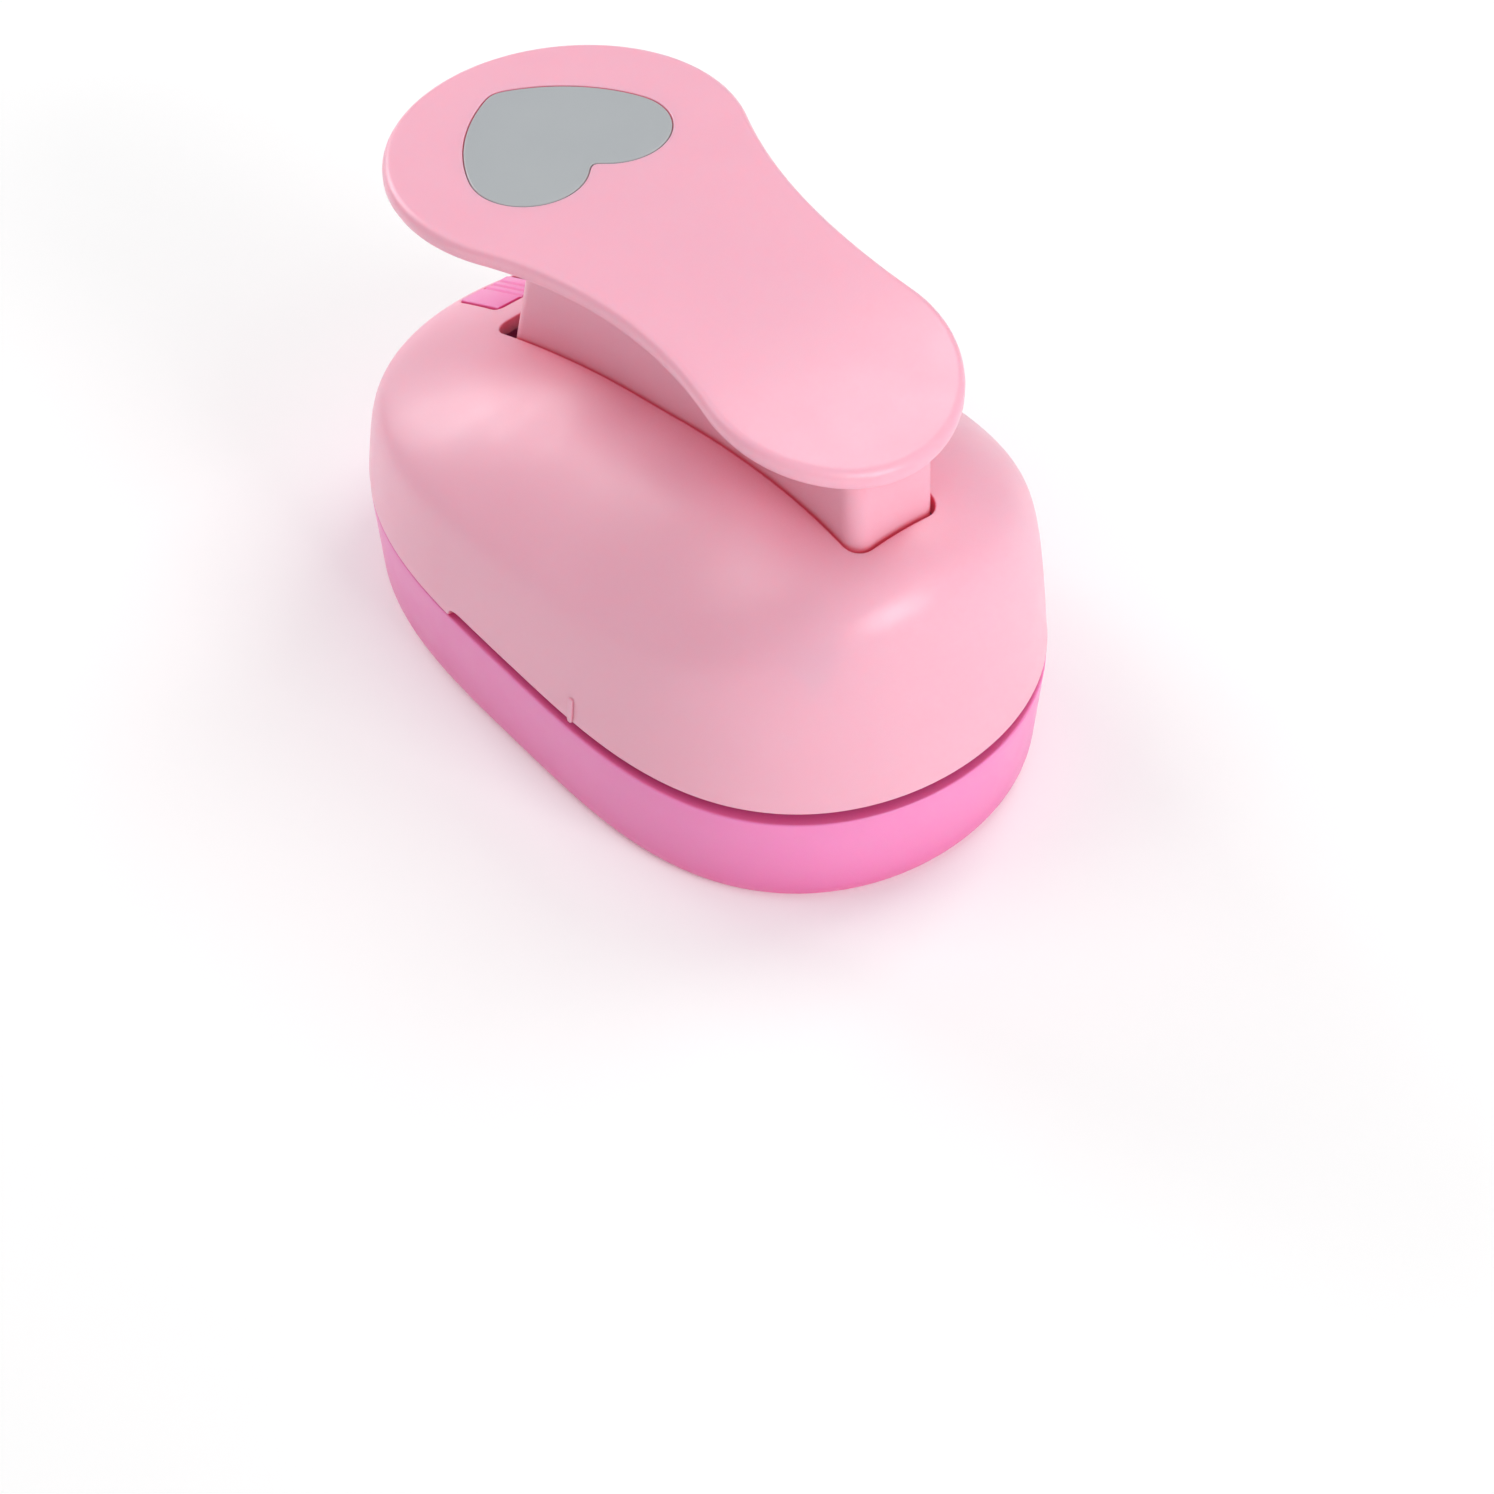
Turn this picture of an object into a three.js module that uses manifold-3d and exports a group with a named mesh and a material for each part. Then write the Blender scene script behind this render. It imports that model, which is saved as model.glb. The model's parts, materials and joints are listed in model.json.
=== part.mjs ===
// Lever craft punch that cuts a heart out of paper.
// Millimetres, +Z up, table at z = 0, symmetry plane at x = 0.
// The paper throat opens towards -Y; the wide press end of the lever is at +Y.
// The shapes are drawn with y = 0 on the body's widest line, and the finished group is moved
// so that the part's origin is at the middle of its length.

import * as THREE from 'three';
import { mergeVertices } from 'three/addons/utils/BufferGeometryUtils.js';
import Module from 'manifold-3d';

const wasm = await Module();
wasm.setup();

// ---------- driving dimensions ----------

// body seen from above: a long rounded outline, |x/a|^2 + |y/b|^3.34 = 1
const HALF_WIDTH = 38.4;
const LENGTH_NEAR = 58.9;
const LENGTH_FAR = 62.3;
const PLAN_POWER_Y = 3.34;
const PLAN_STEPS = 48;
const WALL = 2.2;
const SIDES = [['left', -1], ['right', 1]];

// tray side: how far the wall is drawn in at each height, and the pocket for the die plate
const TRAY_SECTION = [[0, 2.6], [0.8, 1.7], [2.4, 1.1], [6, 0.7], [18, 0]];
const TRAY_FLOOR = 2;
const TRAY_LEDGE = 2;
const TRAY_BOSS_R = 4;
const DROP_MARGIN = 2.5;

// paper throat
const THROAT_FLOOR = 18;
const THROAT_GAP = 2.2;
const THROAT_STOP_Y = 15;

// upper housing: a drafted wall blended into a crowned top
const HOUSING_RIM = 20.4;
const PARTING_Z = 18.2;
const WALL_STEEPNESS = 500;
const CROWN_DROP = 0.54;
const SHOULDER_SHARPNESS = 3;
const HOUSING_BOSS_R = 3.6;
const SCREW_DEPTH_IN_BOSS = 13;
const TICK = { halfWidth: 0.7, height: 5, proud: 0.3, root: 1.5 };
const THROAT_LIP = { height: 1.8, length: 3.6 };

// lever plate: two round ends joined by hollow flanks
const PLATE_NEAR_Y = -27.2;
const PLATE_NEAR_R = 19.3;
const PLATE_FAR_Y = 31.4;
const PLATE_FAR_R = 27.2;
const PLATE_FLANK_R = 73.4;
const PLATE_THICKNESS = 3.2;

// lever skirt and the slot it drops through
const SKIRT_HALF = 7.8;
const SKIRT_WALL = 2;
const SKIRT_NEAR_Y = -43.3;
const SKIRT_FAR_Y = 38.9;
const SKIRT_CORNER_R = 3;
const SKIRT_FAR_LEAN = 0.275;
const SKIRT_FAR_BOTTOM_Z = 39;
const SLOT_HALF = 8.1;
const SLOT_NEAR_Y = -43.7;
const SLOT_FAR_Y = 42.4;

// hinge
const HINGE_Y = -44;
const HINGE_Z = 45;
const HINGE_PIN_R = 2;
const HINGE_BOSS_R = 5;
const PIN_OVERHANG = 1.8;
const CLIP_THICKNESS = 0.6;
const GROOVE_DEPTH = 0.35;
const BRACKET_INNER = 8.3;
const BRACKET_SHEET = 1.6;
const BRACKET_BASE_NEAR_Y = -53;
const BRACKET_BASE_FAR_Y = -40.5;
const RIVET = [5.2, -49.5];
const RIVET_R = 1.3;

// punching set, stacked from the table up
const DIE_THICKNESS = 4;
const GUIDE_THICKNESS = 3;
const DIE_INSET = 2.8;
const DIE_FAR_Y = 48;
const GUIDE_FAR_Y = 44;
const HEART_CLEARANCE = 0.12;
const CUTTER_LIFT = 0.6;
const CUTTER_HEIGHT = 12;
const CUTTER_WALL = 3;
const CUTTER_WEB = 3.5;
const RAM_PLATE_THICKNESS = 3;
const RAM_Y = -15.6;
const RAM_BAR_HALF = 4.5;
const RAM_HUB_R = 14;
const RAM_BUTTON_R = 6;
const NOSE_R = 4;
const NOSE_Z = 45.3;
const NOSE_GAP = 0.3;

// guide posts, bushes and return springs
const POST_X = 29;
const POST_R = 1.5;
const BUSH_R = 2.55;
const SPRING_COIL_R = 2.6;
const SPRING_WIRE_R = 0.4;
const SPRING_TURNS = 4;

// fasteners
const RUNNING_GAP = 0.08;
const SCREW_SHANK_R = 1.4;
const SCREW_HEAD_R = 2.8;
const SCREW_HEAD_H = 2;
const NEAR_SCREW = [18, -46];
const REAR_SCREW = [24, 24];
const HOUSING_SCREW_BITE = 11;
const RAM_SCREW_X = 9.2;
const RAM_SCREW_R = 1.2;
const RAM_SCREW_BITE = 2.4;
const DOWEL = [13, 35];
const DOWEL_R = 2;

// heart cut by the punch: round lobes and long side arcs meeting at a tip that points to +Y
const HEART = { lobeX: 12.2, lobeR: 13.2, sideR: 69.3, tip: 28.5, y: -23.25, round: 1.2 };
// smaller heart let into the lever
const BADGE = { lobeX: 7.67, lobeR: 8.89, sideR: 29.1, tip: 19.7, y: 30.5, round: 2.4 };
const BADGE_THICKNESS = 0.8;

// lock slider in the housing's far end, and the catch on the lever that its arm hooks over
const WINDOW = { x0: -3.4, x1: 11.8, y0: 47.4, y1: 58.2 };
const SLIDER_WIDTH = 9.2;
const SLIDER_TOP_Z = 37.7;
const SLIDER_SLOPE = 0.52;
const SLIDER_ARM_Z = 27.6;
const SLIDER_ARM_THICKNESS = 1.8;
const SLIDER_ARM_WIDTH = 3;
const SLIDER_ARM_TIP_Y = 37.8;
const CATCH = { x0: 2.8, x1: 5.6, z0: 39.6, z1: 41, tipY: 41, sheet: 1.2, height: 6.2 };

// levels that follow from the above
const DIE_Z = THROAT_FLOOR - DIE_THICKNESS;
const GUIDE_Z = THROAT_FLOOR + THROAT_GAP;
const GUIDE_TOP = GUIDE_Z + GUIDE_THICKNESS;
const CUTTER_Z = GUIDE_Z + CUTTER_LIFT;
const CUTTER_TOP = CUTTER_Z + CUTTER_HEIGHT;
const RAM_TOP = CUTTER_TOP + RAM_PLATE_THICKNESS;
const BUTTON_TOP = NOSE_Z - NOSE_R - NOSE_GAP;
const CLIP_Z = RAM_TOP + 0.9;
const PIN_HALF = BRACKET_INNER + BRACKET_SHEET + PIN_OVERHANG;
const PIN_CLIP_X = BRACKET_INNER + BRACKET_SHEET + 0.2;

// ---------- materials ----------

function finish(color, roughness, metalness) {
  return new THREE.MeshStandardMaterial({ color, roughness, metalness });
}

const PINK = finish(0xfdbacd, 0.45, 0);
const MAGENTA = finish(0xe28ec0, 0.45, 0);
const BADGE_GREY = finish(0xb4bac0, 0.5, 0);
const STEEL = finish(0xb9bcc0, 0.35, 1);
const ZINC = finish(0x9ea3a8, 0.5, 1);
const SPRING_STEEL = finish(0xc8cacc, 0.25, 1);
const BRASS = finish(0xc9a24a, 0.35, 1);
const NYLON = finish(0xf2efe6, 0.5, 0);

// ---------- solid helpers ----------

const MERGE = 1e-4;
// reach of a cutting tool that has to clear the whole part
const TALL = 100;
const WIDE = 90;

const ordered = (a, b) => [Math.min(a, b), Math.max(a, b)];

// closed mesh to a solid that can be joined and cut
function toSolid(geometry) {
  const bare = geometry.clone();
  bare.deleteAttribute('normal');
  bare.deleteAttribute('uv');
  const merged = mergeVertices(bare, MERGE);
  const index = merged.index.array;
  const kept = [];
  for (let i = 0; i < index.length; i += 3) {
    const [a, b, c] = [index[i], index[i + 1], index[i + 2]];
    if (a !== b && b !== c && c !== a) kept.push(a, b, c);
  }
  const vertProperties = new Float32Array(merged.attributes.position.array);
  const triVerts = new Uint32Array(kept);
  return new wasm.Manifold(new wasm.Mesh({ numProp: 3, vertProperties, triVerts }));
}

// solid back to geometry for a mesh
function toGeometry(solid) {
  const mesh = solid.getMesh();
  const geometry = new THREE.BufferGeometry();
  geometry.setAttribute('position', new THREE.BufferAttribute(mesh.vertProperties, 3));
  geometry.setIndex(new THREE.BufferAttribute(mesh.triVerts, 1));
  geometry.computeVertexNormals();
  return geometry;
}

// upright prism of a shape drawn in X and Y
function prism(shape, z0, z1, curveSegments = 12) {
  const geometry = new THREE.ExtrudeGeometry(shape, { depth: z1 - z0, bevelEnabled: false, curveSegments });
  return toSolid(geometry.translate(0, 0, z0));
}

// prism of a shape drawn in Y and Z, run along X from x0 to x1
function crossPrism(shape, x0, x1, curveSegments = 12) {
  const geometry = new THREE.ExtrudeGeometry(shape, { depth: x1 - x0, bevelEnabled: false, curveSegments });
  const turn = new THREE.Matrix4().makeBasis(
    new THREE.Vector3(0, 1, 0),
    new THREE.Vector3(0, 0, 1),
    new THREE.Vector3(1, 0, 0),
  );
  return toSolid(geometry.applyMatrix4(turn).translate(x0, 0, 0));
}

// body of revolution about a vertical line through (x, y); profile is [[radius, z], ...]
function turned(profile, x = 0, y = 0, segments = 16) {
  const points = profile.map(([r, z]) => new THREE.Vector2(r, z));
  const geometry = new THREE.LatheGeometry(points, segments);
  return toSolid(geometry.rotateX(Math.PI / 2).translate(x, y, 0));
}

const rod = (r, z0, z1, x = 0, y = 0, segments = 16) =>
  turned([[0, z0], [r, z0], [r, z1], [0, z1]], x, y, segments);

// round bar along X
function crossRod(r, x0, x1, y, z, segments = 20) {
  const geometry = new THREE.CylinderGeometry(r, r, x1 - x0, segments);
  return toSolid(geometry.rotateZ(Math.PI / 2).translate((x0 + x1) / 2, y, z));
}

function box(x0, x1, y0, y1, z0, z1) {
  const geometry = new THREE.BoxGeometry(x1 - x0, y1 - y0, z1 - z0);
  return toSolid(geometry.translate((x0 + x1) / 2, (y0 + y1) / 2, (z0 + z1) / 2));
}

// ---------- outlines ----------

// point on the body's plan outline at an angle, shrunk by an inset
function planPoint(angle, inset) {
  const s = Math.sin(angle);
  const reach = (s > 0 ? LENGTH_FAR : LENGTH_NEAR) - inset;
  const x = (HALF_WIDTH - inset) * Math.cos(angle);
  const y = Math.sign(s) * reach * Math.abs(s) ** (2 / PLAN_POWER_Y);
  return [x, y];
}

// plan outline as a shape, cut straight across beyond farY
function planShape(inset, farY = Infinity) {
  const points = [];
  for (let i = 0; i < PLAN_STEPS; i++) {
    const [x, y] = planPoint((i / PLAN_STEPS) * Math.PI * 2, inset);
    points.push(new THREE.Vector2(x, Math.min(y, farY)));
  }
  const kept = points.filter((p, i) => {
    const before = points[(i + PLAN_STEPS - 1) % PLAN_STEPS];
    const after = points[(i + 1) % PLAN_STEPS];
    return !(p.y === farY && before.y === farY && after.y === farY);
  });
  return new THREE.Shape(kept);
}

// height of the crowned top above the rim, along the body
function crownRise(y) {
  const t = y / 60;
  return 34.4 - 14.2 * t + 10.3 * t ** 2 - 7.5 * t ** 3;
}

// height above the rim at a share r of the way from the centre to the outline
function housingRise(r, y, sink) {
  const wall = WALL_STEEPNESS * (1 - r) + MERGE;
  const top = Math.max(crownRise(y) * (1 - CROWN_DROP * r ** 2) - sink, 1);
  return (wall ** -SHOULDER_SHARPNESS + top ** -SHOULDER_SHARPNESS) ** (-1 / SHOULDER_SHARPNESS);
}

// solid dome over the plan outline: a disc turned from a profile, then bent to the outline and crown
function dome(inset, sink, bottom, rings) {
  const profile = [new THREE.Vector2(0, 0), new THREE.Vector2(1, 0)];
  for (let k = 0; k <= rings; k++) {
    profile.push(new THREE.Vector2(1 - (k / rings) ** 2.2, 1));
  }
  const geometry = new THREE.LatheGeometry(profile, PLAN_STEPS).rotateX(Math.PI / 2);
  const position = geometry.attributes.position;
  for (let i = 0; i < position.count; i++) {
    const r = Math.hypot(position.getX(i), position.getY(i));
    const [px, py] = planPoint(Math.atan2(position.getY(i), position.getX(i)), inset);
    const z = position.getZ(i) < 0.5 ? bottom : HOUSING_RIM + housingRise(r, r * py, sink);
    position.setXYZ(i, r * px, r * py, z);
  }
  return toSolid(geometry);
}

// heart of arcs, grown by a margin, with softened tip and notch
function heartShape({ lobeX, lobeR, sideR, tip, y, round }, grow = 0) {
  const lobe = lobeR + grow;
  const side = sideR + grow;
  // centre of the right-hand side arc: inside-tangent to the lobe and passing through the tip
  const gap = Math.hypot(lobeX, tip);
  const along = ((sideR - lobeR) ** 2 - sideR ** 2 + gap ** 2) / (2 * gap);
  const across = Math.sqrt((sideR - lobeR) ** 2 - along ** 2);
  const ux = -lobeX / gap;
  const uy = -tip / gap;
  const cx = lobeX + along * ux + across * uy;
  const cy = along * uy - across * ux;
  const tangent = Math.atan2(-cy, lobeX - cx);
  const tipY = cy - Math.sqrt(side ** 2 - cx ** 2);
  const tipAngle = Math.atan2(tipY - cy, -cx) + round / side;
  // a shrunken heart keeps clear of the notch's corner, a grown one meets where its lobes cross
  const corner = Math.sqrt(lobeR ** 2 - lobeX ** 2);
  const notchY = grow < 0 ? corner + grow : Math.sqrt(lobe ** 2 - lobeX ** 2);
  const notchAngle = Math.atan2(grow < 0 ? corner : notchY, -lobeX) - round / lobe;
  const half = [];
  const arc = (ox, oy, r, from, to, steps) => {
    for (let i = 0; i <= steps; i++) {
      const a = from + ((to - from) * i) / steps;
      half.push([ox + r * Math.cos(a), oy + r * Math.sin(a)]);
    }
  };
  arc(lobeX, 0, lobe, notchAngle, tangent, 15);
  arc(cx, cy, side, tangent, tipAngle, 4);
  const soften = (sharp, [, v]) => [0, v + (sharp - v) * 0.6];
  const right = [soften(notchY, half[0]), ...half, soften(tipY, half[half.length - 1])];
  const left = half.map(([x, v]) => [-x, v]).reverse();
  const outline = [...right, ...left].map(([x, v]) => new THREE.Vector2(x, y - v));
  return new THREE.Shape(outline);
}

// lever plate outline: two circles joined by hollow arcs
function plateShape() {
  const d = PLATE_FAR_Y - PLATE_NEAR_Y;
  const a = PLATE_NEAR_R + PLATE_FLANK_R;
  const b = PLATE_FAR_R + PLATE_FLANK_R;
  const up = (d ** 2 + a ** 2 - b ** 2) / (2 * d);
  const out = Math.sqrt(a ** 2 - up ** 2);
  const nearAngle = Math.atan2(up, out);
  const farAngle = Math.atan2(d - up, out);
  const flankY = PLATE_NEAR_Y + up;
  const shape = new THREE.Shape();
  shape.absarc(0, PLATE_NEAR_Y, PLATE_NEAR_R, Math.PI - nearAngle, nearAngle, false);
  shape.absarc(out, flankY, PLATE_FLANK_R, Math.PI + nearAngle, Math.PI - farAngle, true);
  shape.absarc(0, PLATE_FAR_Y, PLATE_FAR_R, -farAngle, Math.PI + farAngle, false);
  shape.absarc(-out, flankY, PLATE_FLANK_R, farAngle, -nearAngle, true);
  return shape;
}

// height of the lever's crowned top along its length
function leverTop(y) {
  const u = y / 50;
  return 80.2 + 0.46 * u - 5.75 * u ** 2 + 2.15 * u ** 3;
}

// band that follows the lever's crown, from one depth below it to another
function crownBand(topDepth, bottomDepth) {
  const steps = 16;
  const [y0, y1] = [-50, 62];
  const top = [];
  const bottom = [];
  for (let i = 0; i <= steps; i++) {
    const y = y0 + ((y1 - y0) * i) / steps;
    top.push(new THREE.Vector2(y, leverTop(y) - topDepth));
    bottom.unshift(new THREE.Vector2(y, leverTop(y) - bottomDepth));
  }
  return crossPrism(new THREE.Shape([...top, ...bottom]), -WIDE, WIDE);
}

function roundedRect(x0, x1, y0, y1, r) {
  const shape = new THREE.Shape();
  shape.absarc(x1 - r, y1 - r, r, 0, Math.PI / 2, false);
  shape.absarc(x0 + r, y1 - r, r, Math.PI / 2, Math.PI, false);
  shape.absarc(x0 + r, y0 + r, r, Math.PI, Math.PI * 1.5, false);
  shape.absarc(x1 - r, y0 + r, r, Math.PI * 1.5, Math.PI * 2, false);
  return shape;
}

const polygon = (points) => new THREE.Shape(points.map(([x, y]) => new THREE.Vector2(x, y)));

// ---------- casings ----------

function upperHousing() {
  let shell = dome(0, 0, PARTING_Z, 9).subtract(dome(WALL, WALL, PARTING_Z - 1, 5));
  // screw bosses hang from the crown
  const withinWall = dome(WALL / 2, WALL / 2, PARTING_Z, 5);
  for (const [x, y] of [NEAR_SCREW, REAR_SCREW]) {
    for (const [, side] of SIDES) {
      const boss = rod(HOUSING_BOSS_R, GUIDE_TOP, TALL, side * x, y).intersect(withinWall);
      const hole = rod(SCREW_SHANK_R + RUNNING_GAP, 0, GUIDE_TOP + SCREW_DEPTH_IN_BOSS, side * x, y);
      shell = shell.add(boss).subtract(hole);
    }
  }
  // raised tick on each flank marks the middle of the die
  for (const [, side] of SIDES) {
    const [near, far] = [RAM_Y - TICK.halfWidth, RAM_Y + TICK.halfWidth];
    const faces = ordered(side * (HALF_WIDTH - TICK.root), side * (HALF_WIDTH + TICK.proud));
    shell = shell.add(box(...faces, near, far, HOUSING_RIM, HOUSING_RIM + TICK.height));
  }
  // throat: the rim is cut back from the near end to the stop, with a rounded inner corner
  const throat = new THREE.Shape();
  throat.moveTo(-WIDE, PARTING_Z - 2);
  throat.lineTo(THROAT_STOP_Y, PARTING_Z - 2);
  throat.lineTo(THROAT_STOP_Y, HOUSING_RIM - THROAT_LIP.height);
  throat.quadraticCurveTo(THROAT_STOP_Y, HOUSING_RIM, THROAT_STOP_Y - THROAT_LIP.length, HOUSING_RIM);
  throat.lineTo(-WIDE, HOUSING_RIM);
  shell = shell.subtract(crossPrism(throat, -WIDE, WIDE, 4));
  const slot = roundedRect(-SLOT_HALF, SLOT_HALF, SLOT_NEAR_Y, SLOT_FAR_Y, SKIRT_CORNER_R);
  const window = roundedRect(WINDOW.x0, WINDOW.x1, WINDOW.y0, WINDOW.y1, 1);
  return shell.subtract(prism(slot, GUIDE_TOP, TALL, 4)).subtract(prism(window, GUIDE_TOP, TALL, 3));
}

function baseTray() {
  let tray = null;
  for (let i = 1; i < TRAY_SECTION.length; i++) {
    const layer = taperedPlan(TRAY_SECTION[i - 1], TRAY_SECTION[i]);
    tray = tray ? tray.add(layer) : layer;
  }
  const pocketInset = DIE_INSET - 0.4;
  tray = tray.subtract(prism(planShape(pocketInset), DIE_Z, THROAT_FLOOR + 2));
  tray = tray.subtract(prism(planShape(pocketInset + TRAY_LEDGE), TRAY_FLOOR, DIE_Z + 1));
  for (const [x, y] of [NEAR_SCREW, REAR_SCREW]) {
    for (const [, side] of SIDES) {
      tray = tray.add(rod(TRAY_BOSS_R, TRAY_FLOOR / 2, DIE_Z, side * x, y));
      tray = tray.subtract(rod(SCREW_SHANK_R + 0.2, -1, DIE_Z + 1, side * x, y));
      tray = tray.subtract(rod(SCREW_HEAD_R + 0.3, -1, SCREW_HEAD_H + 1, side * x, y));
    }
  }
  // cut shapes drop out through the floor
  return tray.subtract(prism(heartShape(HEART, DROP_MARGIN), -1, TRAY_FLOOR + 1));
}

// slab between two levels whose plan inset changes linearly: a turned disc bent to the outline
function taperedPlan([z0, inset0], [z1, inset1]) {
  const profile = [[0, 0], [1, 0], [1, 1], [0, 1]].map(([r, z]) => new THREE.Vector2(r, z));
  const geometry = new THREE.LatheGeometry(profile, PLAN_STEPS).rotateX(Math.PI / 2);
  const position = geometry.attributes.position;
  for (let i = 0; i < position.count; i++) {
    const upper = position.getZ(i) > 0.5;
    const r = Math.hypot(position.getX(i), position.getY(i));
    const angle = Math.atan2(position.getY(i), position.getX(i));
    const [px, py] = planPoint(angle, upper ? inset1 : inset0);
    position.setXYZ(i, r * px, r * py, upper ? z1 : z0);
  }
  return toSolid(geometry);
}

// ---------- punching set ----------

function diePlate() {
  let plate = prism(planShape(DIE_INSET, DIE_FAR_Y), DIE_Z, THROAT_FLOOR);
  plate = plate.subtract(prism(heartShape(HEART, HEART_CLEARANCE), DIE_Z - 1, THROAT_FLOOR + 1));
  for (const [, side] of SIDES) {
    const hole = SCREW_SHANK_R + RUNNING_GAP;
    plate = plate.subtract(rod(hole, 0, THROAT_FLOOR - 1, side * NEAR_SCREW[0], NEAR_SCREW[1]));
    plate = plate.subtract(rod(hole, 0, TALL, side * REAR_SCREW[0], REAR_SCREW[1]));
    plate = plate.subtract(rod(DOWEL_R + RUNNING_GAP, 0, TALL, side * DOWEL[0], DOWEL[1]));
  }
  return plate;
}

// plate that keeps the throat open behind the paper stop
function throatSpacer() {
  const slab = prism(planShape(DIE_INSET + 1, GUIDE_FAR_Y), THROAT_FLOOR, GUIDE_Z);
  let spacer = slab.intersect(box(-WIDE, WIDE, THROAT_STOP_Y, WIDE, 0, TALL));
  for (const [, side] of SIDES) {
    spacer = spacer.subtract(rod(SCREW_SHANK_R + RUNNING_GAP, 0, TALL, side * REAR_SCREW[0], REAR_SCREW[1]));
    spacer = spacer.subtract(rod(DOWEL_R + RUNNING_GAP, 0, TALL, side * DOWEL[0], DOWEL[1]));
  }
  return spacer;
}

function guidePlate() {
  let plate = prism(planShape(DIE_INSET + 0.3, GUIDE_FAR_Y), GUIDE_Z, GUIDE_TOP);
  plate = plate.subtract(prism(heartShape(HEART, HEART_CLEARANCE), GUIDE_Z - 1, GUIDE_TOP + 1));
  for (const [, side] of SIDES) {
    plate = plate.subtract(turned(countersunk(RUNNING_GAP, TALL), side * NEAR_SCREW[0], NEAR_SCREW[1]));
    const holes = [
      [SCREW_SHANK_R, ...REAR_SCREW],
      [DOWEL_R, ...DOWEL],
      [POST_R, POST_X, RAM_Y],
      [RIVET_R, ...RIVET],
    ];
    for (const [r, x, y] of holes) {
      plate = plate.subtract(rod(r + RUNNING_GAP, 0, TALL, side * x, y));
    }
  }
  return plate;
}

function cutter() {
  const block = prism(heartShape(HEART, -HEART_CLEARANCE), CUTTER_Z, CUTTER_TOP);
  const pocket = prism(heartShape(HEART, -CUTTER_WALL), CUTTER_Z - 1, CUTTER_TOP - CUTTER_WEB);
  let body = block.subtract(pocket);
  const holeBottom = CUTTER_TOP - RAM_SCREW_BITE - 0.2;
  for (const [, side] of SIDES) {
    const hole = rod(RAM_SCREW_R + RUNNING_GAP, holeBottom, CUTTER_TOP + 1, side * RAM_SCREW_X, RAM_Y);
    body = body.subtract(hole);
  }
  return body;
}

// steel cross-bar on top of the cutter, reaching out to the guide posts
function ramPlate() {
  const reach = POST_X + RAM_BAR_HALF - 0.5;
  const outline = roundedRect(-reach, reach, RAM_Y - RAM_BAR_HALF, RAM_Y + RAM_BAR_HALF, RAM_BAR_HALF - 0.1);
  let plate = prism(outline, CUTTER_TOP, RAM_TOP, 3).add(rod(RAM_HUB_R, CUTTER_TOP, RAM_TOP, 0, RAM_Y, 32));
  for (const [, side] of SIDES) {
    plate = plate.subtract(rod(BUSH_R + RUNNING_GAP / 2, 0, TALL, side * POST_X, RAM_Y));
    plate = plate.subtract(rod(RAM_SCREW_R + RUNNING_GAP, 0, TALL, side * RAM_SCREW_X, RAM_Y));
  }
  return plate;
}

// domed button the lever's nose bears on
function ramButton() {
  const dish = 0.8;
  return turned([
    [0, RAM_TOP],
    [RAM_BUTTON_R, RAM_TOP],
    [RAM_BUTTON_R, BUTTON_TOP - dish],
    [RAM_BUTTON_R - dish, BUTTON_TOP],
    [0, BUTTON_TOP],
  ], 0, RAM_Y, 24);
}

// flanged sleeve pressed into the ram plate
function bush(x) {
  const bore = POST_R + RUNNING_GAP;
  const foot = CUTTER_TOP + 0.1;
  const flange = { r: BUSH_R + 0.9, top: RAM_TOP + 0.6 };
  return turned([
    [bore, foot],
    [BUSH_R, foot],
    [BUSH_R, RAM_TOP],
    [flange.r, RAM_TOP],
    [flange.r, flange.top],
    [bore, flange.top],
    [bore, foot],
  ], x, RAM_Y);
}

// pin fixed in the guide plate, with a clip groove near its chamfered top
function guidePost(x) {
  const groove = POST_R - GROOVE_DEPTH;
  const [low, high] = [CLIP_Z - 0.05, CLIP_Z + CLIP_THICKNESS + 0.05];
  const top = CLIP_Z + 1.7;
  const chamfer = 0.4;
  return turned([
    [0, GUIDE_Z + 0.1],
    [POST_R, GUIDE_Z + 0.1],
    [POST_R, low],
    [groove, low],
    [groove, high],
    [POST_R, high],
    [POST_R, top - chamfer],
    [POST_R - chamfer, top],
    [0, top],
  ], x, RAM_Y);
}

// open ring, drawn at the origin, that snaps into a groove
function clipShape(inner, outer) {
  const open = 0.6;
  const shape = new THREE.Shape();
  shape.absarc(0, 0, outer, open, Math.PI * 2 - open, false);
  shape.absarc(0, 0, inner, Math.PI * 2 - open, open, true);
  return shape;
}

function postClip(x) {
  const ring = clipShape(POST_R - GROOVE_DEPTH + 0.05, POST_R * 2);
  return prism(ring, CLIP_Z, CLIP_Z + CLIP_THICKNESS, 8).translate(x, RAM_Y, 0);
}

// round wire wound along a helix between the guide plate and the ram plate
class Helix extends THREE.Curve {
  constructor(x, y, z0, z1) {
    super();
    Object.assign(this, { x, y, z0, z1 });
  }

  getPoint(t, target = new THREE.Vector3()) {
    const a = t * SPRING_TURNS * Math.PI * 2;
    const z = this.z0 + (this.z1 - this.z0) * t;
    return target.set(this.x + SPRING_COIL_R * Math.cos(a), this.y + SPRING_COIL_R * Math.sin(a), z);
  }
}

function returnSpring(x) {
  const clear = SPRING_WIRE_R + 0.1;
  const path = new Helix(x, RAM_Y, GUIDE_TOP + clear, CUTTER_TOP - clear);
  const wire = new THREE.Shape();
  wire.absarc(0, 0, SPRING_WIRE_R, 0, Math.PI * 2, false);
  const steps = SPRING_TURNS * 12;
  return toSolid(new THREE.ExtrudeGeometry(wire, { steps, curveSegments: 3, extrudePath: path }));
}

// ---------- hinge ----------

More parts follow.
